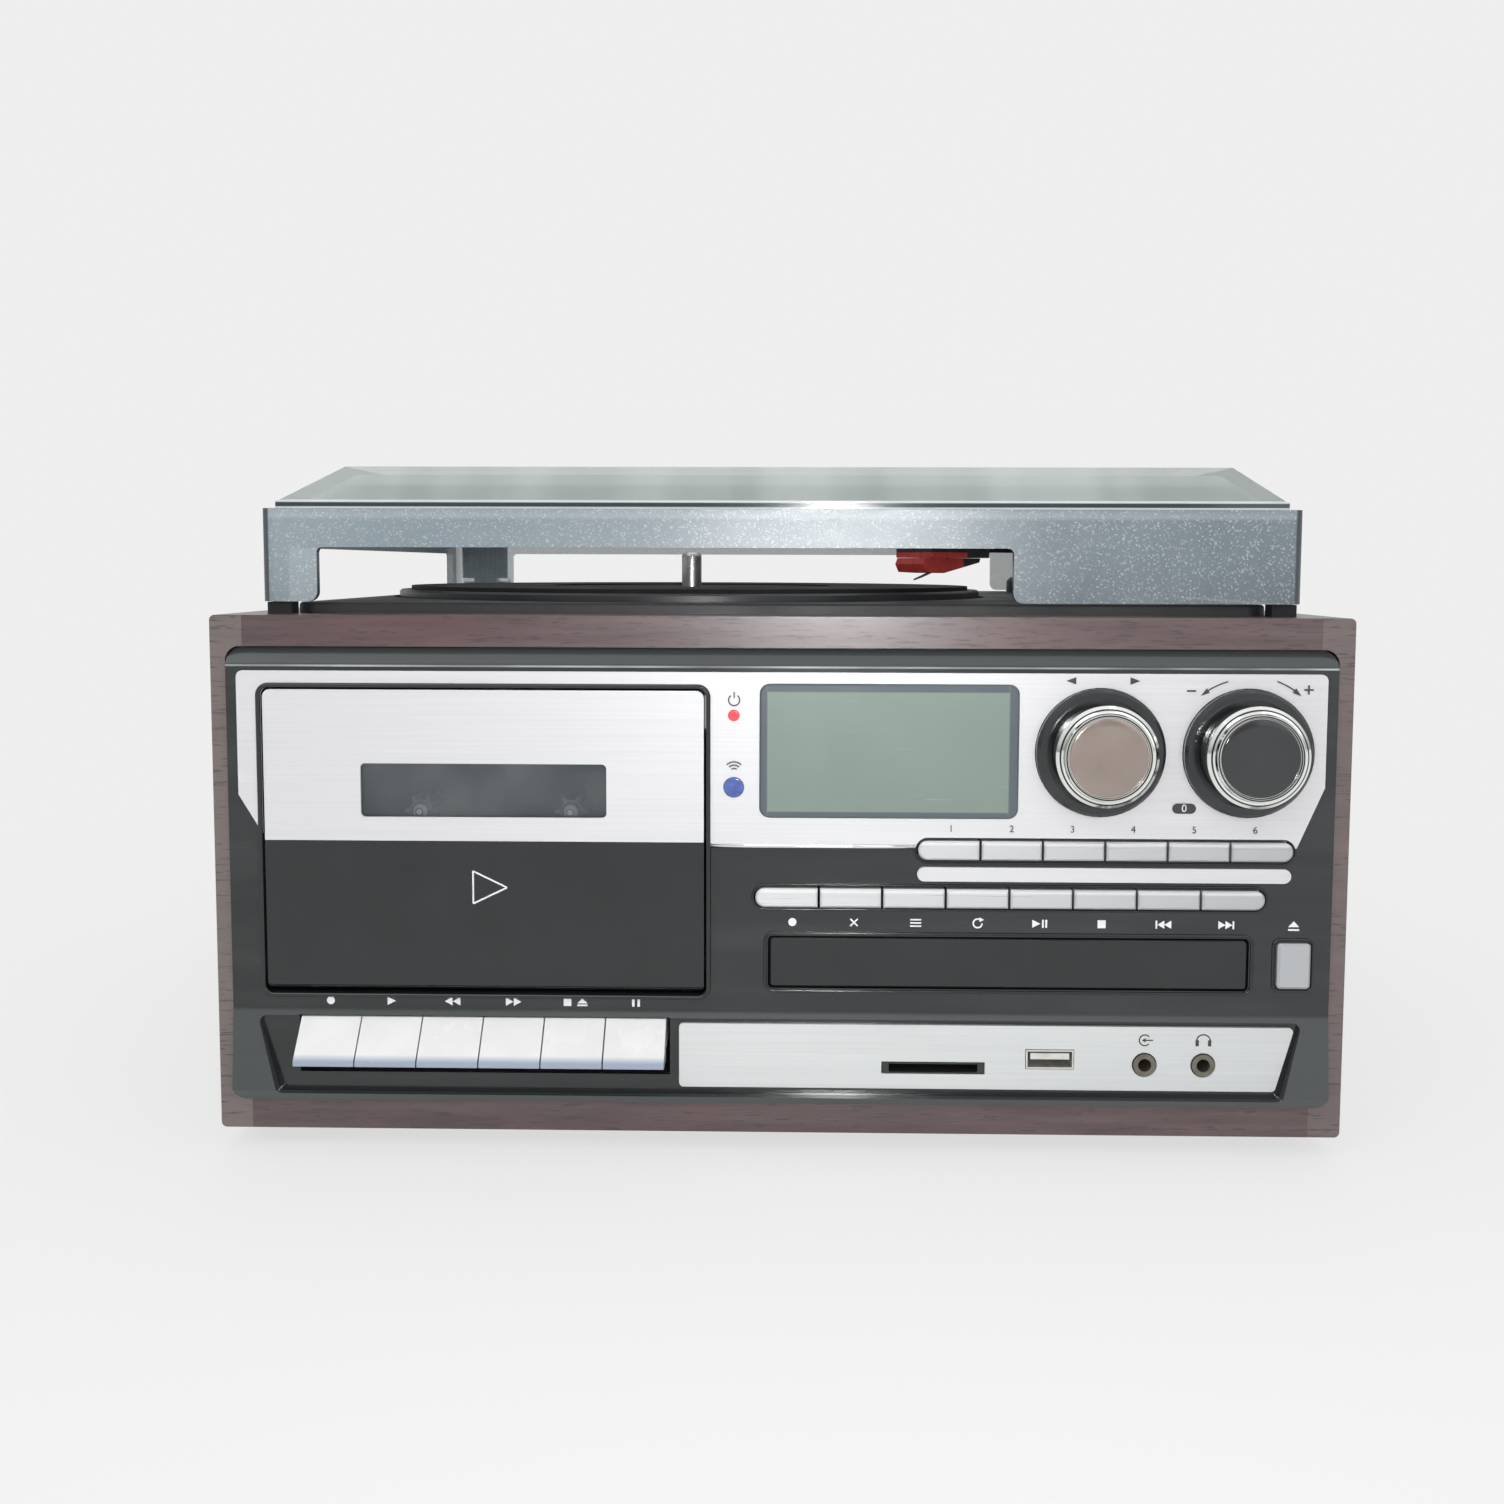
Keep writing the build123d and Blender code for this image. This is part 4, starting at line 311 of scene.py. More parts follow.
def veneer():
    paint = Paint("veneer", (0.075, 0.036, 0.038), 0.34, coat=0.8, coat_roughness=0.27)
    across = paint.split(paint.facing)
    side_face = paint.math("GREATER_THAN", paint.math("ABSOLUTE", across[0]), 0.7)
    end_face = paint.math("GREATER_THAN", paint.math("ABSOLUTE", across[1]), 0.7)
    place = paint.split(paint.place)
    upright = paint.math("MULTIPLY", end_face, paint.math("GREATER_THAN", paint.math("ABSOLUTE", place[0]), 0.1462))
    pores = []
    bands = []
    for stretch in ((1, 11, 11), (11, 1, 11), (11, 11, 1)):
        pores.append(paint.noise(170, detail=2.0, rough=0.5, stretch=stretch))
        bands.append(paint.noise(24, detail=4.0, rough=0.6, stretch=stretch, shift=3.0))
    mixed = []
    for kind in (pores, bands):
        flat = paint.node("ShaderNodeMix", data_type="FLOAT")
        paint.put(side_face, flat.inputs["Factor"])
        paint.put(kind[0], flat.inputs[2])
        paint.put(kind[1], flat.inputs[3])
        edge = paint.node("ShaderNodeMix", data_type="FLOAT")
        paint.put(upright, edge.inputs["Factor"])
        paint.put(flat.outputs[0], edge.inputs[2])
        paint.put(kind[0], edge.inputs[3])
        mixed.append(edge.outputs[0])
    pore, band = mixed
    base = paint.blend(paint.span(band, 0.34, 0.68), (0.052, 0.029, 0.032), (0.100, 0.059, 0.061))
    red = paint.span(paint.noise(7.0, detail=2.0, stretch=(1, 1, 1), shift=6.0), 0.52, 0.68)
    base = paint.blend(paint.math("MULTIPLY", red, 0.4), base, (0.105, 0.032, 0.036))
    # The side boards' front edges are painted paler by a share that falls from left to right; that fade is painted
    # light.
    share = paint.span(place[0], -0.15, 0.15, 0.48, 0.30)
    base = paint.blend(paint.math("MULTIPLY", upright, share), base, (0.20, 0.175, 0.16))
    dark = paint.span(pore, 0.58, 0.64)
    paint.feed("Base Color", paint.blend(paint.math("MULTIPLY", dark, 0.6), base, (0.022, 0.012, 0.014)))
    paint.feed("Roughness", paint.span(band, 0.3, 0.7, 0.30, 0.38))
    paint.bump(dark, 0.35, 0.00012)
    return paint.material


def moulded(name, color, roughness, coat=0.0, grain=1500.0, depth=0.12, specular=0.5):
    """Moulded plastic with a fine grain and slightly uneven polish."""
    paint = Paint(name, color, roughness, coat=coat, specular=specular)
    drift = paint.noise(60.0, detail=4.0)
    shade = tuple(c * 0.8 for c in color)
    light = tuple(min(c * 1.2, 1.0) for c in color)
    paint.feed("Base Color", paint.blend(paint.span(drift, 0.3, 0.7), shade, light))
    paint.worn(roughness * 0.22)
    paint.bump(paint.noise(grain, detail=2.0), depth, 0.00008)
    return paint.material


def panel_black():
    """Gloss black moulding with long soft streaks and a paler sloped foot. Its sloped top band is painted paler as
    painted light where it faces up to the lamps, a painted highlight runs along the crease at the band's foot, and the
    face is painted darker towards the left as painted shade.
    """
    paint = Paint("panel_black", (0.012, 0.014, 0.015), 0.16, coat=0.3)
    place = paint.split(paint.place)
    # painted light: the sloped top band is painted paler where it faces up to the lamps
    band = paint.span(place[2], 0.1354, 0.1362)
    front = paint.math("LESS_THAN", place[1], -0.1272)
    foot = paint.math("MULTIPLY", front, paint.span(place[2], 0.0395, 0.0405, 1.0, 0.0))
    # painted highlight: a bright line along the crease at the foot of the top band
    crease_highlight = paint.math("MULTIPLY", paint.span(place[2], 0.1350, 0.1352), paint.span(place[2], 0.1355, 0.1357, 1.0, 0.0))
    shine = paint.noise(30.0, detail=2.0, stretch=(1, 1, 1), shift=2.0)
    crease_highlight = paint.math("MULTIPLY", crease_highlight, paint.span(shine, 0.35, 0.65, 0.25, 1.0))
    # painted shade: the black face is painted darker towards the left
    side = paint.span(place[0], -0.15, 0.15)
    streak = paint.noise(18.0, detail=3.0, stretch=(1, 1, 7))
    body = paint.blend(side, (0.008, 0.010, 0.011), (0.012, 0.014, 0.016))
    body = paint.blend(paint.math("MULTIPLY", band, 0.9), body, (0.050, 0.060, 0.060))
    body = paint.blend(paint.math("MULTIPLY", foot, 0.8), body, (0.052, 0.060, 0.060))
    pale = paint.blend(0.2, body, (0.055, 0.062, 0.063))
    body = paint.blend(paint.span(streak, 0.42, 0.66), body, pale)
    paint.feed("Base Color", paint.blend(crease_highlight, body, (0.42, 0.45, 0.46)))
    polish = paint.noise(40.0, detail=4.0)
    matt = paint.blend(foot, (0.16, 0.16, 0.16), (0.42, 0.42, 0.42))
    paint.feed("Roughness", paint.math("ADD", paint.split(matt)[0], paint.span(polish, 0.3, 0.7, -0.03, 0.04)))
    paint.bump(paint.noise(500.0, detail=2.0), 0.03, 0.00006)
    return paint.material


def sockets():
    """Black socket bodies with a bright serial bus shell and dark nickel jack barrels."""
    paint = Paint("sockets", (0.02, 0.02, 0.022), 0.35)
    place = paint.split(paint.place)
    bus = paint.math("LESS_THAN", paint.math("ABSOLUTE", paint.math("SUBTRACT", place[0], 0.075)), 0.0068)
    jack = paint.math("GREATER_THAN", place[0], 0.09)
    cloud = paint.noise(400.0, detail=2.0)
    black = paint.blend(paint.span(cloud, 0.3, 0.7), (0.016, 0.016, 0.017), (0.032, 0.032, 0.034))
    nickel = paint.blend(paint.span(cloud, 0.3, 0.7), (0.13, 0.12, 0.095), (0.20, 0.185, 0.15))
    bright = paint.blend(paint.span(cloud, 0.3, 0.7), (0.62, 0.61, 0.57), (0.78, 0.77, 0.73))
    paint.feed("Base Color", paint.blend(bus, paint.blend(jack, black, nickel), bright))
    paint.feed("Metallic", paint.math("MAXIMUM", paint.math("MULTIPLY", bus, 0.8), paint.math("MULTIPLY", jack, 0.6)))
    paint.worn(0.08, scale=200.0)
    paint.bump(cloud, 0.1, 0.00006)
    return paint.material


def silver(name, color, right, roughness, metallic):
    """Silver lacquer or foil brushed along X, its tone easing from one colour to another at the right as painted light
    and shade across the plate.
    """
    paint = Paint(name, color, roughness, metallic=metallic)
    brushed = paint.noise(260.0, detail=3.0, stretch=(0.06, 6, 6))
    # painted shade: the tone eases to the darker right-hand colour across the plate
    rightward = paint.span(paint.split(paint.place)[0], -0.14, 0.14)
    tone = paint.blend(rightward, color, right)
    shade = paint.math("MULTIPLY", paint.span(brushed, 0.3, 0.7, 1.0, 0.0), 0.08)
    paint.feed("Base Color", paint.blend(shade, tone, (0.0, 0.0, 0.0)))
    paint.feed("Roughness", paint.span(brushed, 0.3, 0.7, roughness - 0.06, roughness + 0.06))
    paint.bump(brushed, 0.05, 0.00005)
    return paint.material


def button_silver():
    """Silver lacquer painted darker towards the right as painted shade, with a painted highlight along its upper edge.
    """
    paint = Paint("silver_button", (0.66, 0.675, 0.70), 0.32, metallic=0.3, coat=0.25)
    place = paint.split(paint.place)
    # painted shade: the buttons are painted darker towards the right
    rightward = paint.span(place[0], 0.0, 0.14)
    base = paint.blend(rightward, (0.66, 0.665, 0.675), (0.42, 0.435, 0.45))
    brushed = paint.noise(240.0, detail=3.0, stretch=(0.08, 6, 6))
    base = paint.blend(paint.math("MULTIPLY", paint.span(brushed, 0.3, 0.7), 0.16), base, (0.36, 0.37, 0.39))
    # painted highlight: a pale band along the upper edge of each button row
    edge_highlights = []
    for middle in (0.0858, 0.0725):
        edge_highlights.append(paint.math("MULTIPLY", paint.span(place[2], middle + 0.0012, middle + 0.0017),
                                 paint.span(place[2], middle + 0.0021, middle + 0.0026, 1.0, 0.0)))
    upper = paint.math("MULTIPLY", paint.math("MAXIMUM", edge_highlights[0], edge_highlights[1]), 0.5)
    paint.feed("Base Color", paint.blend(upper, base, (0.86, 0.87, 0.88)))
    paint.feed("Roughness", paint.span(brushed, 0.3, 0.7, 0.26, 0.38))
    paint.bump(brushed, 0.05, 0.00005)
    return paint.material


def reel_plastic():
    """Grey reel hub with two pale rings and a bright tip about each axis, partly the hub's own pale plastic and partly
    painted light for the dim bay it sits in.
    """
    paint = Paint("reel_grey", (0.12, 0.13, 0.14), 0.35)
    place = paint.split(paint.place)
    radii = []
    for x in REEL_CENTRES:
        across = paint.math("SUBTRACT", place[0], x * MM)
        above = paint.math("SUBTRACT", place[2], REEL_Z * MM)
        squares = paint.math("ADD", paint.math("MULTIPLY", across, across), paint.math("MULTIPLY", above, above))
        radii.append(paint.math("SQRT", squares))
    radius = paint.math("MINIMUM", radii[0], radii[1])
    rings = []
    for inner, outer in ((0.0013, 0.0019), (0.0054, 0.0068)):
        rings.append(paint.math("MULTIPLY", paint.span(radius, inner - 0.0002, inner),
                                paint.span(radius, outer, outer + 0.0003, 1.0, 0.0)))
    ring = paint.math("MAXIMUM", rings[0], rings[1])
    drift = paint.noise(400.0, detail=3.0)
    base = paint.blend(paint.span(drift, 0.3, 0.7), (0.10, 0.11, 0.12), (0.20, 0.215, 0.225))
    # The pale rings and bright tip are painted brighter than the hub's own plastic, as painted light.
    base = paint.blend(paint.math("MULTIPLY", ring, 0.85), base, (0.80, 0.84, 0.86))
    tip = paint.span(radius, 0.0006, 0.0009, 1.0, 0.0)
    paint.feed("Base Color", paint.blend(tip, base, (0.95, 0.96, 0.96)))
    paint.worn(0.08, scale=200.0)
    paint.bump(ring, 0.1, 0.0001)
    return paint.material


def metal(name, color, roughness, grain=900.0, specular=0.5):
    paint = Paint(name, color, roughness, metallic=1.0, specular=specular)
    paint.worn(roughness * 0.4, scale=90.0)
    paint.bump(paint.noise(grain, detail=2.0), 0.04, 0.00004)
    return paint.material


def ringed_chrome():
    """Chrome knob with two turned grooves round its face, painted dark for the shade and dark reflection in them."""
    paint = Paint("ringed_chrome", (0.84, 0.85, 0.84), 0.10, metallic=1.0)
    place = paint.split(paint.place)
    rings = []
    for x in (TUNING_X, VOLUME_X):
        across = paint.math("SUBTRACT", place[0], x * MM)
        above = paint.math("SUBTRACT", place[2], KNOB_Z * MM)
        squares = paint.math("ADD", paint.math("MULTIPLY", across, across), paint.math("MULTIPLY", above, above))
        rings.append(paint.math("SQRT", squares))
    radius = paint.math("MINIMUM", rings[0], rings[1])
    grooves = []
    for middle in (0.0111, 0.0126):
        away = paint.math("ABSOLUTE", paint.math("SUBTRACT", radius, middle))
        grooves.append(paint.span(away, 0.00014, 0.00026, 1.0, 0.0))
    groove = paint.math("MAXIMUM", grooves[0], grooves[1])
    drift = paint.noise(90.0, detail=4.0)
    bright = paint.blend(paint.span(drift, 0.3, 0.7), (0.78, 0.79, 0.77), (0.90, 0.91, 0.89))
    # painted shade: the grooves are darkened in the colour
    paint.feed("Base Color", paint.blend(groove, bright, (0.035, 0.04, 0.04)))
    paint.worn(0.04, scale=90.0)
    paint.bump(groove, -0.4, 0.0001)
    return paint.material


def display():
    """Green-grey liquid crystal panel under a clear pane with a dark printed border."""
    paint = Paint("display", (0.28, 0.37, 0.30), 0.22, coat=0.3, coat_roughness=0.06)
    place = paint.split(paint.place)
    centre = (0.0297, 0.1125)
    half = (0.0326, 0.0163)
    away_x = paint.math("SUBTRACT", paint.math("ABSOLUTE", paint.math("SUBTRACT", place[0], centre[0])), half[0])
    away_z = paint.math("SUBTRACT", paint.math("ABSOLUTE", paint.math("SUBTRACT", place[2], centre[1])), half[1])
    outside = paint.span(paint.math("MAXIMUM", away_x, away_z), -0.0002, 0.0002)
    rise = paint.span(place[2], 0.094, 0.131)
    glow = paint.noise(26.0, detail=2.0)
    green = paint.blend(rise, (0.186, 0.244, 0.212), (0.197, 0.257, 0.223))
    green = paint.blend(paint.math("MULTIPLY", paint.span(glow, 0.4, 0.7), 0.25), green, (0.23, 0.29, 0.26))
    scratch = paint.span(paint.noise(300.0, detail=3.0, stretch=(0.12, 1, 2.5)), 0.66, 0.74)
    green = paint.blend(paint.math("MULTIPLY", scratch, 0.35), green, (0.42, 0.48, 0.46))
    seam = paint.span(paint.math("ABSOLUTE", away_x), 0.0, 0.0004, 1.0, 0.0)
    edge = paint.blend(paint.math("MULTIPLY", seam, 0.4), (0.085, 0.105, 0.125), (0.15, 0.18, 0.2))
    paint.feed("Base Color", paint.blend(outside, green, edge))
    paint.worn(0.05, scale=120.0)
    paint.bump(paint.noise(300.0, detail=1.0), 0.02, 0.00005)
    return paint.material


def lenses():
    """Red lamp above, dark blue remote window below."""
    paint = Paint("lenses", (0.05, 0.09, 0.34), 0.12, coat=0.8)
    place = paint.split(paint.place)
    lamp = paint.math("GREATER_THAN", place[2], 0.112)
    cloud = paint.noise(400.0, detail=2.0)
    blue = paint.blend(paint.span(cloud, 0.3, 0.7), (0.03, 0.05, 0.22), (0.07, 0.13, 0.42))
    paint.feed("Base Color", paint.blend(lamp, blue, (0.85, 0.05, 0.06)))
    paint.feed("Emission Color", paint.blend(lamp, (0, 0, 0), (0.9, 0.06, 0.06)))
    paint.set("Emission Strength", 0.35)
    paint.bump(cloud, 0.05, 0.00005)
    return paint.material


def smoked_cover():
    """Pale clear crown with soft upright bands of painted reflection, and frosted walls with fine painted glints. The
    walls are painted lighter at the left and darker at the right, with a painted highlight along their top edge and
    along the step, and painted shade where they are seen end on and in a line along the step.
    """
    paint = Paint("smoked_clear", (0.30, 0.35, 0.35), 0.10, specular=0.9)
    place = paint.split(paint.place)
    facing = paint.split(paint.facing)
    wall = paint.span(place[2], 0.1782, 0.1786, 1.0, 0.0)
    # painted shade: a dark line along the step at the foot of the crown
    line = paint.math("MULTIPLY", paint.span(place[2], 0.1789, 0.1791),
                      paint.span(place[2], 0.1801, 0.1803, 1.0, 0.0))
    # painted highlight: a bright band along the step
    shine = paint.math("MULTIPLY", paint.span(place[2], 0.1783, 0.1785),
                       paint.span(place[2], 0.1808, 0.1811, 1.0, 0.0))
    # painted shade: the walls are darkened where seen end on, where refraction would darken them
    end_x = paint.math("MULTIPLY", paint.span(paint.math("ABSOLUTE", place[0]), 0.1424, 0.1428),
                       paint.math("GREATER_THAN", paint.math("ABSOLUTE", facing[1]), 0.5))
    mid_y = paint.math("ABSOLUTE", paint.math("SUBTRACT", place[1], 0.008))
    end_y = paint.math("MULTIPLY", paint.span(mid_y, 0.1204, 0.1208),
                       paint.math("GREATER_THAN", paint.math("ABSOLUTE", facing[0]), 0.5))
    edge = paint.math("MULTIPLY", paint.math("MAXIMUM", end_x, end_y), wall)
    rear = paint.span(place[1], 0.10, 0.12)
    dark = paint.math("MULTIPLY", paint.math("MAXIMUM", edge, line), paint.span(rear, 0.0, 1.0, 1.0, 0.15))
    # painted glints: bright specks in the frosted walls' colour
    spark = paint.cells(2400.0)
    glint = paint.span(paint.split(spark.outputs["Color"])[0], 0.80, 1.0)
    cloud = paint.noise(22.0, detail=3.0)
    # painted light and shade: the frosted walls are painted lighter at the left and darker at the right
    left = paint.span(place[0], -0.145, 0.145)
    frost = paint.blend(left, (0.29, 0.36, 0.40), (0.125, 0.165, 0.195))
    frost = paint.blend(paint.math("MULTIPLY", paint.span(cloud, 0.35, 0.65), 0.35), frost, (0.36, 0.42, 0.46))
    # painted highlight: a pale band along the walls' rounded top edge
    lip = paint.math("MULTIPLY", paint.span(place[2], 0.1752, 0.1762), paint.span(place[2], 0.1764, 0.1785, 1.0, 0.3))
    frost = paint.blend(paint.math("MULTIPLY", lip, 0.3), frost, (0.62, 0.68, 0.70))
    frost = paint.blend(paint.math("MULTIPLY", glint, 0.5), frost, (0.72, 0.77, 0.80))
    # painted reflection: soft upright bands across the crown
    reflection_bands = paint.noise(52.0, detail=2.0, stretch=(1, 0.04, 0.04))
    crown = paint.blend(paint.span(reflection_bands, 0.38, 0.62), (0.35, 0.405, 0.388), (0.48, 0.54, 0.518))
    base = paint.blend(wall, crown, frost)
    base = paint.blend(paint.math("MULTIPLY", shine, 0.8), base, (0.80, 0.86, 0.86))
    paint.feed("Base Color", paint.blend(dark, base, (0.030, 0.040, 0.052)))
    see = paint.node("ShaderNodeMix", data_type="FLOAT")
    paint.put(wall, see.inputs["Factor"])
    level = paint.math("GREATER_THAN", paint.math("ABSOLUTE", facing[2]), 0.95)
    flat = paint.math("MULTIPLY", level, paint.math("GREATER_THAN", place[2], 0.187))
    veiled = paint.span(reflection_bands, 0.36, 0.64, 0.44, 0.36)
    paint.put(paint.math("MULTIPLY", veiled, paint.span(flat, 0.0, 1.0, 1.0, 0.40)), see.inputs[2])
    paint.put(paint.span(rear, 0.0, 1.0, 0.70, 0.42), see.inputs[3])
    rim = paint.node("ShaderNodeFresnel")
    rim.inputs["IOR"].default_value = 1.45
    body = paint.math("MAXIMUM", see.outputs[0], paint.math("MAXIMUM", dark, paint.math("MULTIPLY", shine, 0.7)))
    veil = paint.math("ADD", body, paint.math("MULTIPLY", rim.outputs[0], 0.4))
    paint.feed("Alpha", paint.math("MINIMUM", veil, 1.0))
    rough = paint.node("ShaderNodeMix", data_type="FLOAT")
    paint.put(wall, rough.inputs["Factor"])
    rough.inputs[2].default_value = 0.10
    rough.inputs[3].default_value = 0.23
    paint.feed("Roughness", rough.outputs[0])
    paint.bump(paint.math("MULTIPLY", spark.outputs["Distance"], wall), 0.4, 0.00008)
    return paint.material


def clear_window():
    paint = Paint("smoked_window", (0.10, 0.115, 0.13), 0.08, coat=0.4, alpha=0.5)
    cloud = paint.noise(60.0, detail=3.0)
    paint.feed("Base Color", paint.blend(paint.span(cloud, 0.3, 0.7), (0.10, 0.118, 0.135), (0.17, 0.19, 0.195)))
    paint.feed("Alpha", paint.span(cloud, 0.3, 0.7, 0.26, 0.36))
    paint.worn(0.03, scale=150.0)
    paint.bump(cloud, 0.03, 0.0001)
    return paint.material


def white_key():
    """White key whose lip at its foot is painted darker and cooler as painted shade."""
    paint = Paint("white_key", (0.86, 0.86, 0.85), 0.25, coat=0.25)
    place = paint.split(paint.place)
    # painted shade: a darker, cooler band at the key's foot
    lip = paint.span(place[2], 0.0282, 0.0296, 1.0, 0.0)
    drift = paint.noise(90.0, detail=3.0)
    body = paint.blend(paint.span(drift, 0.3, 0.7), (0.69, 0.69, 0.69), (0.75, 0.75, 0.75))
    paint.feed("Base Color", paint.blend(paint.math("MULTIPLY", lip, 0.9), body, (0.25, 0.31, 0.41)))
    paint.worn(0.05)
    paint.bump(paint.noise(1200.0, detail=2.0), 0.05, 0.00006)
    return paint.material


def circuit_board():
    paint = Paint("board", (0.02, 0.10, 0.04), 0.4, coat=0.3)
    place = paint.split(paint.place)
    tracks = paint.cells(220.0, stretch=(1, 1, 1), feature="DISTANCE_TO_EDGE")
    line = paint.span(tracks.outputs["Distance"], 0.03, 0.06, 1.0, 0.0)
    paint.feed("Base Color", paint.blend(paint.math("MULTIPLY", line, 0.5), (0.015, 0.085, 0.035), (0.06, 0.22, 0.09)))
    paint.bump(line, 0.15, 0.00008)
    paint.feed("Roughness", paint.span(place[2], 0.0, 0.2, 0.36, 0.44))
    return paint.material


# The headshell's bend and direction seen from above, and where the red block starts along it and ends above
HEAD_BEND = (79.1, -36.7)
HEAD_WAY = (-0.740, -0.673)
RED_START = 35.0
RED_TOP = 167.0


def pickup():
    """Black pickup body whose stylus block, at its foot and its forward end, is red."""
    paint = Paint("pickup", (0.02, 0.02, 0.022), 0.3)
    place = paint.split(paint.place)
    along_x = paint.math("MULTIPLY", paint.math("SUBTRACT", place[0], HEAD_BEND[0] * MM), HEAD_WAY[0])
    along_y = paint.math("MULTIPLY", paint.math("SUBTRACT", place[1], HEAD_BEND[1] * MM), HEAD_WAY[1])
    ahead = paint.math("GREATER_THAN", paint.math("ADD", along_x, along_y), RED_START * MM)
    low = paint.math("LESS_THAN", place[2], RED_TOP * MM)
    cloud = paint.noise(500.0, detail=2.0)
    black = paint.blend(paint.span(cloud, 0.3, 0.7), (0.014, 0.014, 0.016), (0.03, 0.03, 0.032))
    red = paint.blend(paint.span(cloud, 0.3, 0.7), (0.40, 0.035, 0.03), (0.52, 0.06, 0.05))
    paint.feed("Base Color", paint.blend(paint.math("MULTIPLY", ahead, low), black, red))
    paint.worn(0.06, scale=200.0)
    paint.bump(cloud, 0.08, 0.00006)
    return paint.material


def fibreboard():
    paint = Paint("fibreboard", (0.022, 0.019, 0.017), 0.62)
    fibre = paint.noise(500.0, detail=5.0, rough=0.7, stretch=(1, 1, 2))
    paint.feed("Base Color", paint.blend(paint.span(fibre, 0.35, 0.7), (0.016, 0.014, 0.013), (0.055, 0.047, 0.042)))
    paint.bump(fibre, 0.25, 0.0001)
    return paint.material


def cap_mirror(name, tint):
    """Tinted mirror cap with a soft uneven tone and a fine grain."""
    paint = Paint(name, tint, 0.14, metallic=0.55, coat=0.6, coat_roughness=0.03)
    cloud = paint.noise(70.0, detail=4.0)
    shade = tuple(c * 0.78 for c in tint)
    paint.feed("Base Color", paint.blend(paint.span(cloud, 0.3, 0.7), shade, tint))
    paint.worn(0.05, scale=200.0)
    paint.bump(paint.noise(800.0, detail=2.0), 0.03, 0.00004)
    return paint.material


def ink(name, color, roughness=0.45):
    paint = Paint(name, color, roughness)
    speck = paint.noise(2500.0, detail=2.0)
    shade = tuple(c * 0.85 for c in color)
    paint.feed("Base Color", paint.blend(paint.span(speck, 0.3, 0.7), shade, color))
    paint.bump(speck, 0.1, 0.00003)
    return paint.material


VENEER = veneer()
BLACK = moulded("black_gloss", (0.007, 0.009, 0.010), 0.16, coat=0.25, grain=700.0, depth=0.03)
BLACK_MATT = moulded("black_matt", (0.020, 0.020, 0.022), 0.48, grain=2200.0, depth=0.3)
SILVER_PLATE = silver("silver_plate", (0.68, 0.68, 0.70), (0.64, 0.64, 0.655), 0.42, 0.25)
LOWER_SILVER = silver("lower_silver", (0.72, 0.74, 0.74), (0.60, 0.62, 0.62), 0.42, 0.25)
SILVER_BUTTON = button_silver()
WHITE_KEY = white_key()
CHROME = metal("chrome", (0.86, 0.87, 0.86), 0.07)
KNOB_CHROME = ringed_chrome()
STEEL = metal("steel", (0.55, 0.55, 0.56), 0.28)
DISPLAY = display()
LENSES = lenses()
COVER = smoked_cover()
WINDOW = clear_window()
RUBBER = moulded("rubber", (0.017, 0.017, 0.018), 0.75, grain=1600.0, depth=0.5, specular=0.3)
BOARD = circuit_board()
PLATTER = moulded("platter_paint", (0.032, 0.036, 0.040), 0.35, grain=900.0, depth=0.15)
FIBRE = fibreboard()
PICKUP = pickup()
PANEL_BLACK = panel_black()
SOCKETS = sockets()
REEL = reel_plastic()
# Pale smoked plastic for the hinge leaves, made paler than its own tint as painted light, as the leaves sit in shade.
LEAF = moulded("leaf_plastic", (0.40, 0.48, 0.50), 0.3, grain=900.0, depth=0.1)

BUTTONS = [f"function_button_{i}" for i in range(1, 7)] + [f"disc_button_{i}" for i in range(1, 9)] + ["open_button"]
KEYS = ["key_record", "key_play", "key_rewind", "key_forward", "key_stop", "key_pause"]
DRESS = [
    (VENEER, ["cabinet"]),
    (FIBRE, ["back_panel"]),
    (STEEL, ["screws", "spindle", "capstan", "motor_pulley", "platter_motor", "hinge_brackets"]),
    (LEAF, ["hinge_leaves"]),
    (RUBBER, ["feet", "platter_mat", "drive_belt"]),
    (PANEL_BLACK, ["front_panel"]),
    (BLACK, ["disc_drawer", "cassette_door"]),
    (SILVER_PLATE, ["upper_plate", "door_plate"]),
    (LOWER_SILVER, ["lower_plate"]),
    (DISPLAY, ["display_glass"]),
    (LENSES, ["indicator_lenses"]),
    (BOARD, ["control_board", "main_board"]),
    (BLACK_MATT, ["cassette_frame", "disc_mechanism", "rear_sockets", "deck_plate", "arm_turret", "tonearm",
                  "cue_lever", "speed_selector"]),
    (SOCKETS, ["front_sockets"]),
    (REEL, ["reel_hub_left", "reel_hub_right"]),
    (PLATTER, ["platter"]),
    (COVER, ["dust_cover"]),
    (WINDOW, ["door_window"]),
    (KNOB_CHROME, ["tuning_knob", "volume_knob"]),
    (PICKUP, ["cartridge"]),
    (SILVER_BUTTON, BUTTONS),
    (WHITE_KEY, KEYS),
]
for material, names in DRESS:
    for name in names:
        mesh = nodes[name].data
        for index in range(len(mesh.materials)):
            mesh.materials[index] = material


# ---------------------------------------------------------------- pieces
def add_piece(name, mesh, material, body):
    piece = bpy.data.objects.new(name, mesh)
    bpy.context.scene.collection.objects.link(piece)
    mesh.materials.clear()
    mesh.materials.append(material)
    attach(piece, body)
    return piece


def prism(shell, outline, face, lift):
    """Adds a flat print or plate to a bmesh: an outline in X and Z, millimetres, raised from a face at Y."""
    front = [shell.verts.new((x * MM, (face - lift) * MM, z * MM)) for x, z in outline]
    back = [shell.verts.new((x * MM, face * MM, z * MM)) for x, z in outline]
    count = len(outline)
    shell.faces.new(front)
    shell.faces.new(list(reversed(back)))
    for i in range(count):
        j = (i + 1) % count
        shell.faces.new((front[j], front[i], back[i], back[j]))


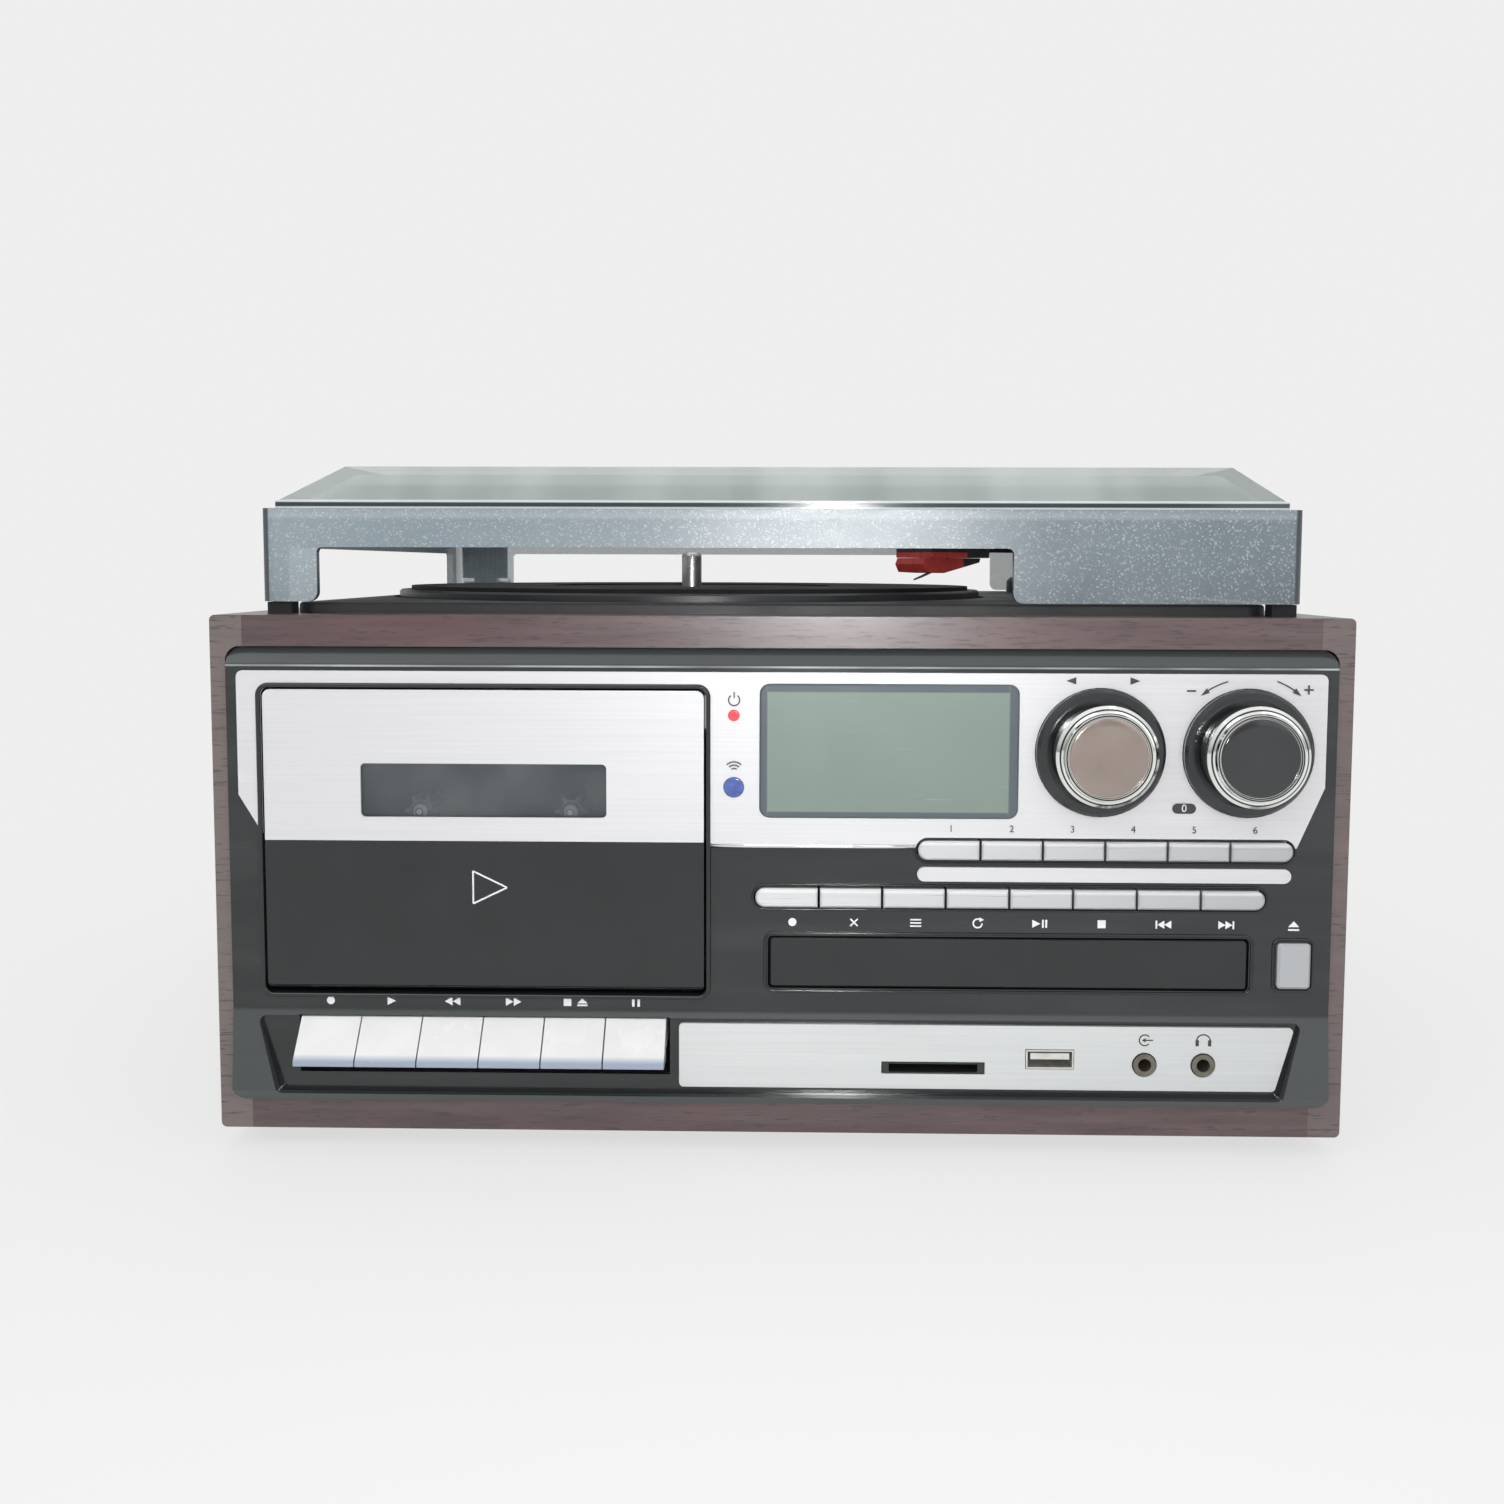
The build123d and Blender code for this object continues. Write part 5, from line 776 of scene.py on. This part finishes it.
def stroke(points, width):
    """Outline of a line of some width along two or more points."""
    left = []
    right = []
    for i, point in enumerate(points):
        before = Vector(points[max(i - 1, 0)])
        after = Vector(points[min(i + 1, len(points) - 1)])
        along = (after - before).normalized()
        aside = Vector((-along.y, along.x)) * width / 2
        left.append(tuple(Vector(point) + aside))
        right.append(tuple(Vector(point) - aside))
    return left + right[::-1]


def arc(x, z, radius, first, last, steps=24):
    return [(x + radius * math.cos(math.radians(first + (last - first) * i / steps)),
             z + radius * math.sin(math.radians(first + (last - first) * i / steps))) for i in range(steps + 1)]


def disc(x, z, radius, steps=32):
    return arc(x, z, radius, 0, 360 - 360 / steps, steps - 1)


def bar(x, z, width, height):
    return [(x - width / 2, z - height / 2), (x + width / 2, z - height / 2),
            (x + width / 2, z + height / 2), (x - width / 2, z + height / 2)]


def triangle(x, z, width, height, way=1):
    """Triangle centred on a point, pointing right, or left with way=-1."""
    return [(x - way * width / 2, z - height / 2), (x + way * width / 2, z), (x - way * width / 2, z + height / 2)]


def closed_line(points, width):
    """Strokes along the sides of a closed outline."""
    return [stroke([points[i], points[(i + 1) % len(points)]], width) for i in range(len(points))]


PRINT_LIFT = 0.05


def printed(name, outlines, face, material, body="cabinet", lift=PRINT_LIFT):
    shell = bmesh.new()
    for index, outline in enumerate(outlines):
        prism(shell, outline, face, lift + 0.002 * index)
    bmesh.ops.recalc_face_normals(shell, faces=shell.faces)
    mesh = bpy.data.meshes.new(name)
    shell.to_mesh(mesh)
    shell.free()
    return add_piece(name, mesh, material, body)


def rounded(x, z, width, height, radius, steps=8):
    """Outline of a rounded rectangle, anticlockwise, in X and Z."""
    points = []
    for turn, (sx, sz) in enumerate(((1, 1), (-1, 1), (-1, -1), (1, -1))):
        points += arc(x + sx * (width / 2 - radius), z + sz * (height / 2 - radius), radius,
                      90 * turn, 90 * turn + 90, steps)
    return points


def bead(name, outline, width, rise, face, material, body="cabinet", closed=True):
    """A half-round moulding of some width and rise that follows an outline over a face at Y."""
    shell = bmesh.new()
    count = len(outline)
    rows = []
    for i in range(count):
        before = Vector(outline[i - 1] if closed else outline[max(i - 1, 0)])
        after = Vector(outline[(i + 1) % count] if closed else outline[min(i + 1, count - 1)])
        along = (after - before).normalized()
        aside = Vector((along.y, -along.x))
        row = []
        for k in range(9):
            angle = math.pi * k / 8
            point = Vector(outline[i]) + aside * (width / 2 * math.cos(angle))
            row.append(shell.verts.new((point.x * MM, (face - rise * math.sin(angle)) * MM, point.y * MM)))
        rows.append(row)
    for i in range(count if closed else count - 1):
        first = rows[i]
        second = rows[(i + 1) % count]
        for k in range(9):
            shell.faces.new((first[k], first[(k + 1) % 9], second[(k + 1) % 9], second[k]))
    if not closed:
        shell.faces.new(rows[0])
        shell.faces.new(rows[-1][::-1])
    bmesh.ops.recalc_face_normals(shell, faces=shell.faces)
    mesh = bpy.data.meshes.new(name)
    shell.to_mesh(mesh)
    shell.free()
    for polygon in mesh.polygons:
        polygon.use_smooth = len(polygon.vertices) == 4
    return add_piece(name, mesh, material, body)


def numeral(name, text, x, z, size, face, material, body="cabinet"):
    """A plain number, as a raised print."""
    curve = bpy.data.curves.new(name, "FONT")
    curve.body = text
    curve.size = size * MM
    curve.align_x = "CENTER"
    curve.align_y = "CENTER"
    curve.extrude = PRINT_LIFT * MM / 2
    holder = bpy.data.objects.new(name + "_text", curve)
    bpy.context.scene.collection.objects.link(holder)
    bpy.context.view_layer.update()
    mesh = bpy.data.meshes.new_from_object(holder.evaluated_get(bpy.context.evaluated_depsgraph_get()))
    bpy.data.objects.remove(holder)
    mesh.name = name
    turn = Matrix.Rotation(math.radians(90), 4, "X")
    mesh.transform(Matrix.Translation((x * MM, (face - PRINT_LIFT / 2) * MM, z * MM)) @ turn)
    return add_piece(name, mesh, material, body)


def turned(name, x, z, profile, material, body, steps=96):
    """A turned form about an axis along Y through X and Z: profile points are radius and Y."""
    shell = bmesh.new()
    rings = []
    for radius, y in profile:
        if radius < 1e-6:
            rings.append([shell.verts.new((x * MM, y * MM, z * MM))])
            continue
        ring = []
        for i in range(steps):
            angle = 2 * math.pi * i / steps
            ring.append(shell.verts.new(((x + radius * math.cos(angle)) * MM, y * MM,
                                         (z + radius * math.sin(angle)) * MM)))
        rings.append(ring)
    for lower, upper in zip(rings, rings[1:]):
        for i in range(steps):
            j = (i + 1) % steps
            if len(lower) == 1:
                shell.faces.new((lower[0], upper[j], upper[i]))
            elif len(upper) == 1:
                shell.faces.new((lower[i], lower[j], upper[0]))
            else:
                shell.faces.new((lower[i], lower[j], upper[j], upper[i]))
    bmesh.ops.recalc_face_normals(shell, faces=shell.faces)
    mesh = bpy.data.meshes.new(name)
    shell.to_mesh(mesh)
    shell.free()
    for face in mesh.polygons:
        face.use_smooth = True
    return add_piece(name, mesh, material, body)


UPPER_FACE = -129.0
PANEL_FACE = -128.0
LOWER_FACE = -127.8
DOOR_FACE = -128.8
DARK_INK = ink("dark_ink", (0.035, 0.035, 0.04))
WHITE_INK = ink("white_ink", (0.80, 0.82, 0.84))

# Knob caps
CAP_BROWN = cap_mirror("cap_brown", (0.33, 0.27, 0.24))
CAP_DARK = cap_mirror("cap_dark", (0.040, 0.042, 0.044))
for cap_name, cap_x, cap_material, cap_body in (("tuning_cap", TUNING_X, CAP_BROWN, "tuning_knob"),
                                                ("volume_cap", VOLUME_X, CAP_DARK, "volume_knob")):
    turned(cap_name, cap_x, KNOB_Z,
           [(0, -140.62), (4.0, -140.60), (8.0, -140.52), (9.9, -140.45), (10.3, -140.38), (10.42, -140.22), (10.42, -140.15)],
           cap_material, cap_body)

# Knob arrows and the volume's marks
printed("tuning_arrows", [triangle(78.7, 132.1, 2.7, 2.0, -1), triangle(95.9, 132.1, 2.7, 2.0, 1)],
        UPPER_FACE, DARK_INK)
SWEEP_LEFT = 20.2
SWEEP_RIGHT = 20.8
left_sweep = stroke(arc(VOLUME_X, KNOB_Z, SWEEP_LEFT, 124, 106.6, 12), 0.35)
right_sweep = stroke(arc(VOLUME_X, KNOB_Z, SWEEP_RIGHT, 69.3, 54, 12), 0.35)


def arrow_head(radius, angle, way):
    """Slim head of a curved arrow at an angle on a sweep round the volume knob."""
    tip = Vector(arc(VOLUME_X, KNOB_Z, radius, angle + way * 7, angle + way * 7, 1)[0])
    base_out = Vector(arc(VOLUME_X, KNOB_Z, radius + 0.75, angle, angle, 1)[0])
    base_in = Vector(arc(VOLUME_X, KNOB_Z, radius - 0.75, angle, angle, 1)[0])
    return [tuple(tip), tuple(base_out), tuple(base_in)]


printed("volume_sweeps", [left_sweep, right_sweep, arrow_head(SWEEP_LEFT, 123, 1), arrow_head(SWEEP_RIGHT, 55, -1)],
        UPPER_FACE, DARK_INK)
printed("volume_signs", [bar(110.9, 129.5, 2.5, 0.45), bar(142.2, 129.9, 2.5, 0.45), bar(142.2, 129.9, 0.45, 2.5)],
        UPPER_FACE, DARK_INK)
badge = arc(107.9, 97.6, 1.4, 90, 270, 12) + arc(111.5, 97.6, 1.4, -90, 90, 12)
printed("volume_badge", [badge], UPPER_FACE, DARK_INK)
numeral("volume_zero", "0", 109.7, 97.6, 2.9, UPPER_FACE - PRINT_LIFT, WHITE_INK)

# Power sign and the remote window's mark
printed("power_sign", [stroke(arc(-11.9, 126.5, 1.5, 125, 415, 28), 0.38), bar(-11.9, 127.9, 0.38, 1.7)],
        UPPER_FACE, DARK_INK)
printed("remote_sign", [stroke(arc(-11.9, 106.9, r, 45, 135, 10), 0.35) for r in (1.0, 1.9, 2.8)],
        UPPER_FACE, DARK_INK)

# Function numbers
for index in range(6):
    numeral(f"function_number_{index + 1}", str(index + 1), 47.0 + index * 16.4, 91.7, 2.7, UPPER_FACE, DARK_INK)

# Disc control signs, on the black face
DISC_X = [4.1 + i * (122.1 - 4.1) / 7 for i in range(8)]
DISC_Z = 65.5


def skip_sign(x, z, way):
    return [triangle(x - 1.1 * way, z, 1.9, 2.2, way), triangle(x + 0.8 * way, z, 1.9, 2.2, way),
            bar(x + 2.0 * way, z, 0.45, 2.2)]


disc_signs = [
    [disc(DISC_X[0], DISC_Z, 1.1)],
    [stroke([(DISC_X[1] - 1.0, DISC_Z - 1.0), (DISC_X[1] + 1.0, DISC_Z + 1.0)], 0.4),
     stroke([(DISC_X[1] - 1.0, DISC_Z + 1.0), (DISC_X[1] + 1.0, DISC_Z - 1.0)], 0.4)],
    [bar(DISC_X[2], DISC_Z + 0.9, 3.0, 0.4), bar(DISC_X[2], DISC_Z, 3.0, 0.4), bar(DISC_X[2], DISC_Z - 0.9, 3.0, 0.4)],
    [stroke(arc(DISC_X[3], DISC_Z, 1.2, 60, 360, 24), 0.4), triangle(DISC_X[3] + 1.15, DISC_Z + 1.0, 1.3, 1.3, 1)],
    [triangle(DISC_X[4] - 0.9, DISC_Z, 2.2, 2.2, 1), bar(DISC_X[4] + 0.9, DISC_Z, 0.5, 2.2),
     bar(DISC_X[4] + 1.8, DISC_Z, 0.5, 2.2)],
    [bar(DISC_X[5], DISC_Z, 2.2, 2.2)],
    skip_sign(DISC_X[6], DISC_Z, -1),
    skip_sign(DISC_X[7], DISC_Z, 1),
]
for index, outlines in enumerate(disc_signs):
    printed(f"disc_sign_{index + 1}", outlines, PANEL_FACE, WHITE_INK)

# Cassette key signs
KEY_X = [-131.8 + (i + 0.5) * 16.9 for i in range(6)]
KEY_SIGN_Z = 42.6
key_signs = [
    [disc(KEY_X[0], KEY_SIGN_Z, 1.1)],
    [triangle(KEY_X[1], KEY_SIGN_Z, 2.3, 2.3, 1)],
    [triangle(KEY_X[2] + 1.1, KEY_SIGN_Z, 2.1, 2.3, -1), triangle(KEY_X[2] - 1.1, KEY_SIGN_Z, 2.1, 2.3, -1)],
    [triangle(KEY_X[3] - 1.1, KEY_SIGN_Z, 2.1, 2.3, 1), triangle(KEY_X[3] + 1.1, KEY_SIGN_Z, 2.1, 2.3, 1)],
    [bar(KEY_X[4] - 2.0, KEY_SIGN_Z, 2.1, 2.1), [(KEY_X[4] + 0.7, KEY_SIGN_Z - 0.3), (KEY_X[4] + 3.5, KEY_SIGN_Z - 0.3),
                                               (KEY_X[4] + 2.1, KEY_SIGN_Z + 1.1)],
     bar(KEY_X[4] + 2.1, KEY_SIGN_Z - 0.85, 2.8, 0.45)],
    [bar(KEY_X[5] - 0.75, KEY_SIGN_Z, 0.7, 2.2), bar(KEY_X[5] + 0.75, KEY_SIGN_Z, 0.7, 2.2)],
]
for index, outlines in enumerate(key_signs):
    printed(f"key_sign_{index + 1}", outlines, PANEL_FACE, WHITE_INK)

# Door's play outline, the drawer's sign, and the socket signs
play = [(-83.3, 70.2), (-74.0, 74.7), (-83.3, 79.2)]
printed("door_play_outline", closed_line(play, 0.45), DOOR_FACE, WHITE_INK, body="cassette_door")
printed("drawer_sign", [[(138.9, 65.1), (141.9, 65.1), (140.4, 66.7)], bar(140.4, 64.3, 3.0, 0.5)],
        PANEL_FACE, WHITE_INK)
phones = [stroke(arc(116.9, 33.0, 1.9, 0, 180, 20), 0.35), bar(115.2, 32.5, 0.9, 1.7), bar(118.6, 32.5, 0.9, 1.7)]
printed("phones_sign", phones, LOWER_FACE, DARK_INK)
line_in = [stroke(arc(100.9, 33.2, 1.5, 40, 320, 24), 0.35), bar(101.9, 33.2, 2.6, 0.35),
           triangle(100.6, 33.2, 1.0, 1.3, -1)]
printed("line_in_sign", line_in, LOWER_FACE, DARK_INK)

# Chrome strip between the door and the function row
bead("chrome_strip", [(-18.6, 86.7), (0.0, 86.7), (20.0, 86.7), (37.4, 86.7)], 1.6, 1.2, PANEL_FACE, CHROME,
     closed=False)

# Half-round mouldings: round the door, the button rows, the drawer and its button
bead("door_bead", rounded(-80.25, 87.25, 122.7, 85.7, 2.9), 1.3, 0.75, UPPER_FACE + 0.35, BLACK)
bead("function_bead", rounded(88.75, 85.8, 102.9, 7.2, 3.55), 0.7, 0.45, PANEL_FACE, BLACK)
bead("disc_bead", rounded(63.05, 72.5, 139.7, 6.8, 3.35), 0.7, 0.45, PANEL_FACE, BLACK)
bead("drawer_bead", rounded(62.95, 54.4, 132.6, 16.1, 2.4), 0.9, 0.5, PANEL_FACE, BLACK)
bead("open_bead", rounded(140.4, 54.5, 10.7, 14.3, 1.9), 0.8, 0.5, PANEL_FACE, BLACK)

# Stylus: a thin bright cantilever below the red block
bend = Vector(HEAD_BEND)
way = Vector(HEAD_WAY)
stylus = bmesh.new()
stations = []
for reach, drop, half in ((43.0, 9.4, 0.35), (48.0, 11.0, 0.3), (51.2, 11.9, 0.22)):
    middle = bend + way * reach
    across = Vector((-way.y, way.x)) * half
    ring = []
    for sx, sz in ((1, 1), (-1, 1), (-1, -1), (1, -1)):
        ring.append(stylus.verts.new(((middle.x + across.x * sx) * MM, (middle.y + across.y * sx) * MM,
                                      (170.5 - drop + half * sz) * MM)))
    stations.append(ring)
for first, second in zip(stations, stations[1:]):
    for k in range(4):
        stylus.faces.new((first[k], first[(k + 1) % 4], second[(k + 1) % 4], second[k]))
stylus.faces.new(stations[0][::-1])
stylus.faces.new(stations[-1])
bmesh.ops.recalc_face_normals(stylus, faces=stylus.faces)
stylus_mesh = bpy.data.meshes.new("stylus")
stylus.to_mesh(stylus_mesh)
stylus.free()
add_piece("stylus", stylus_mesh, STEEL, "tonearm")
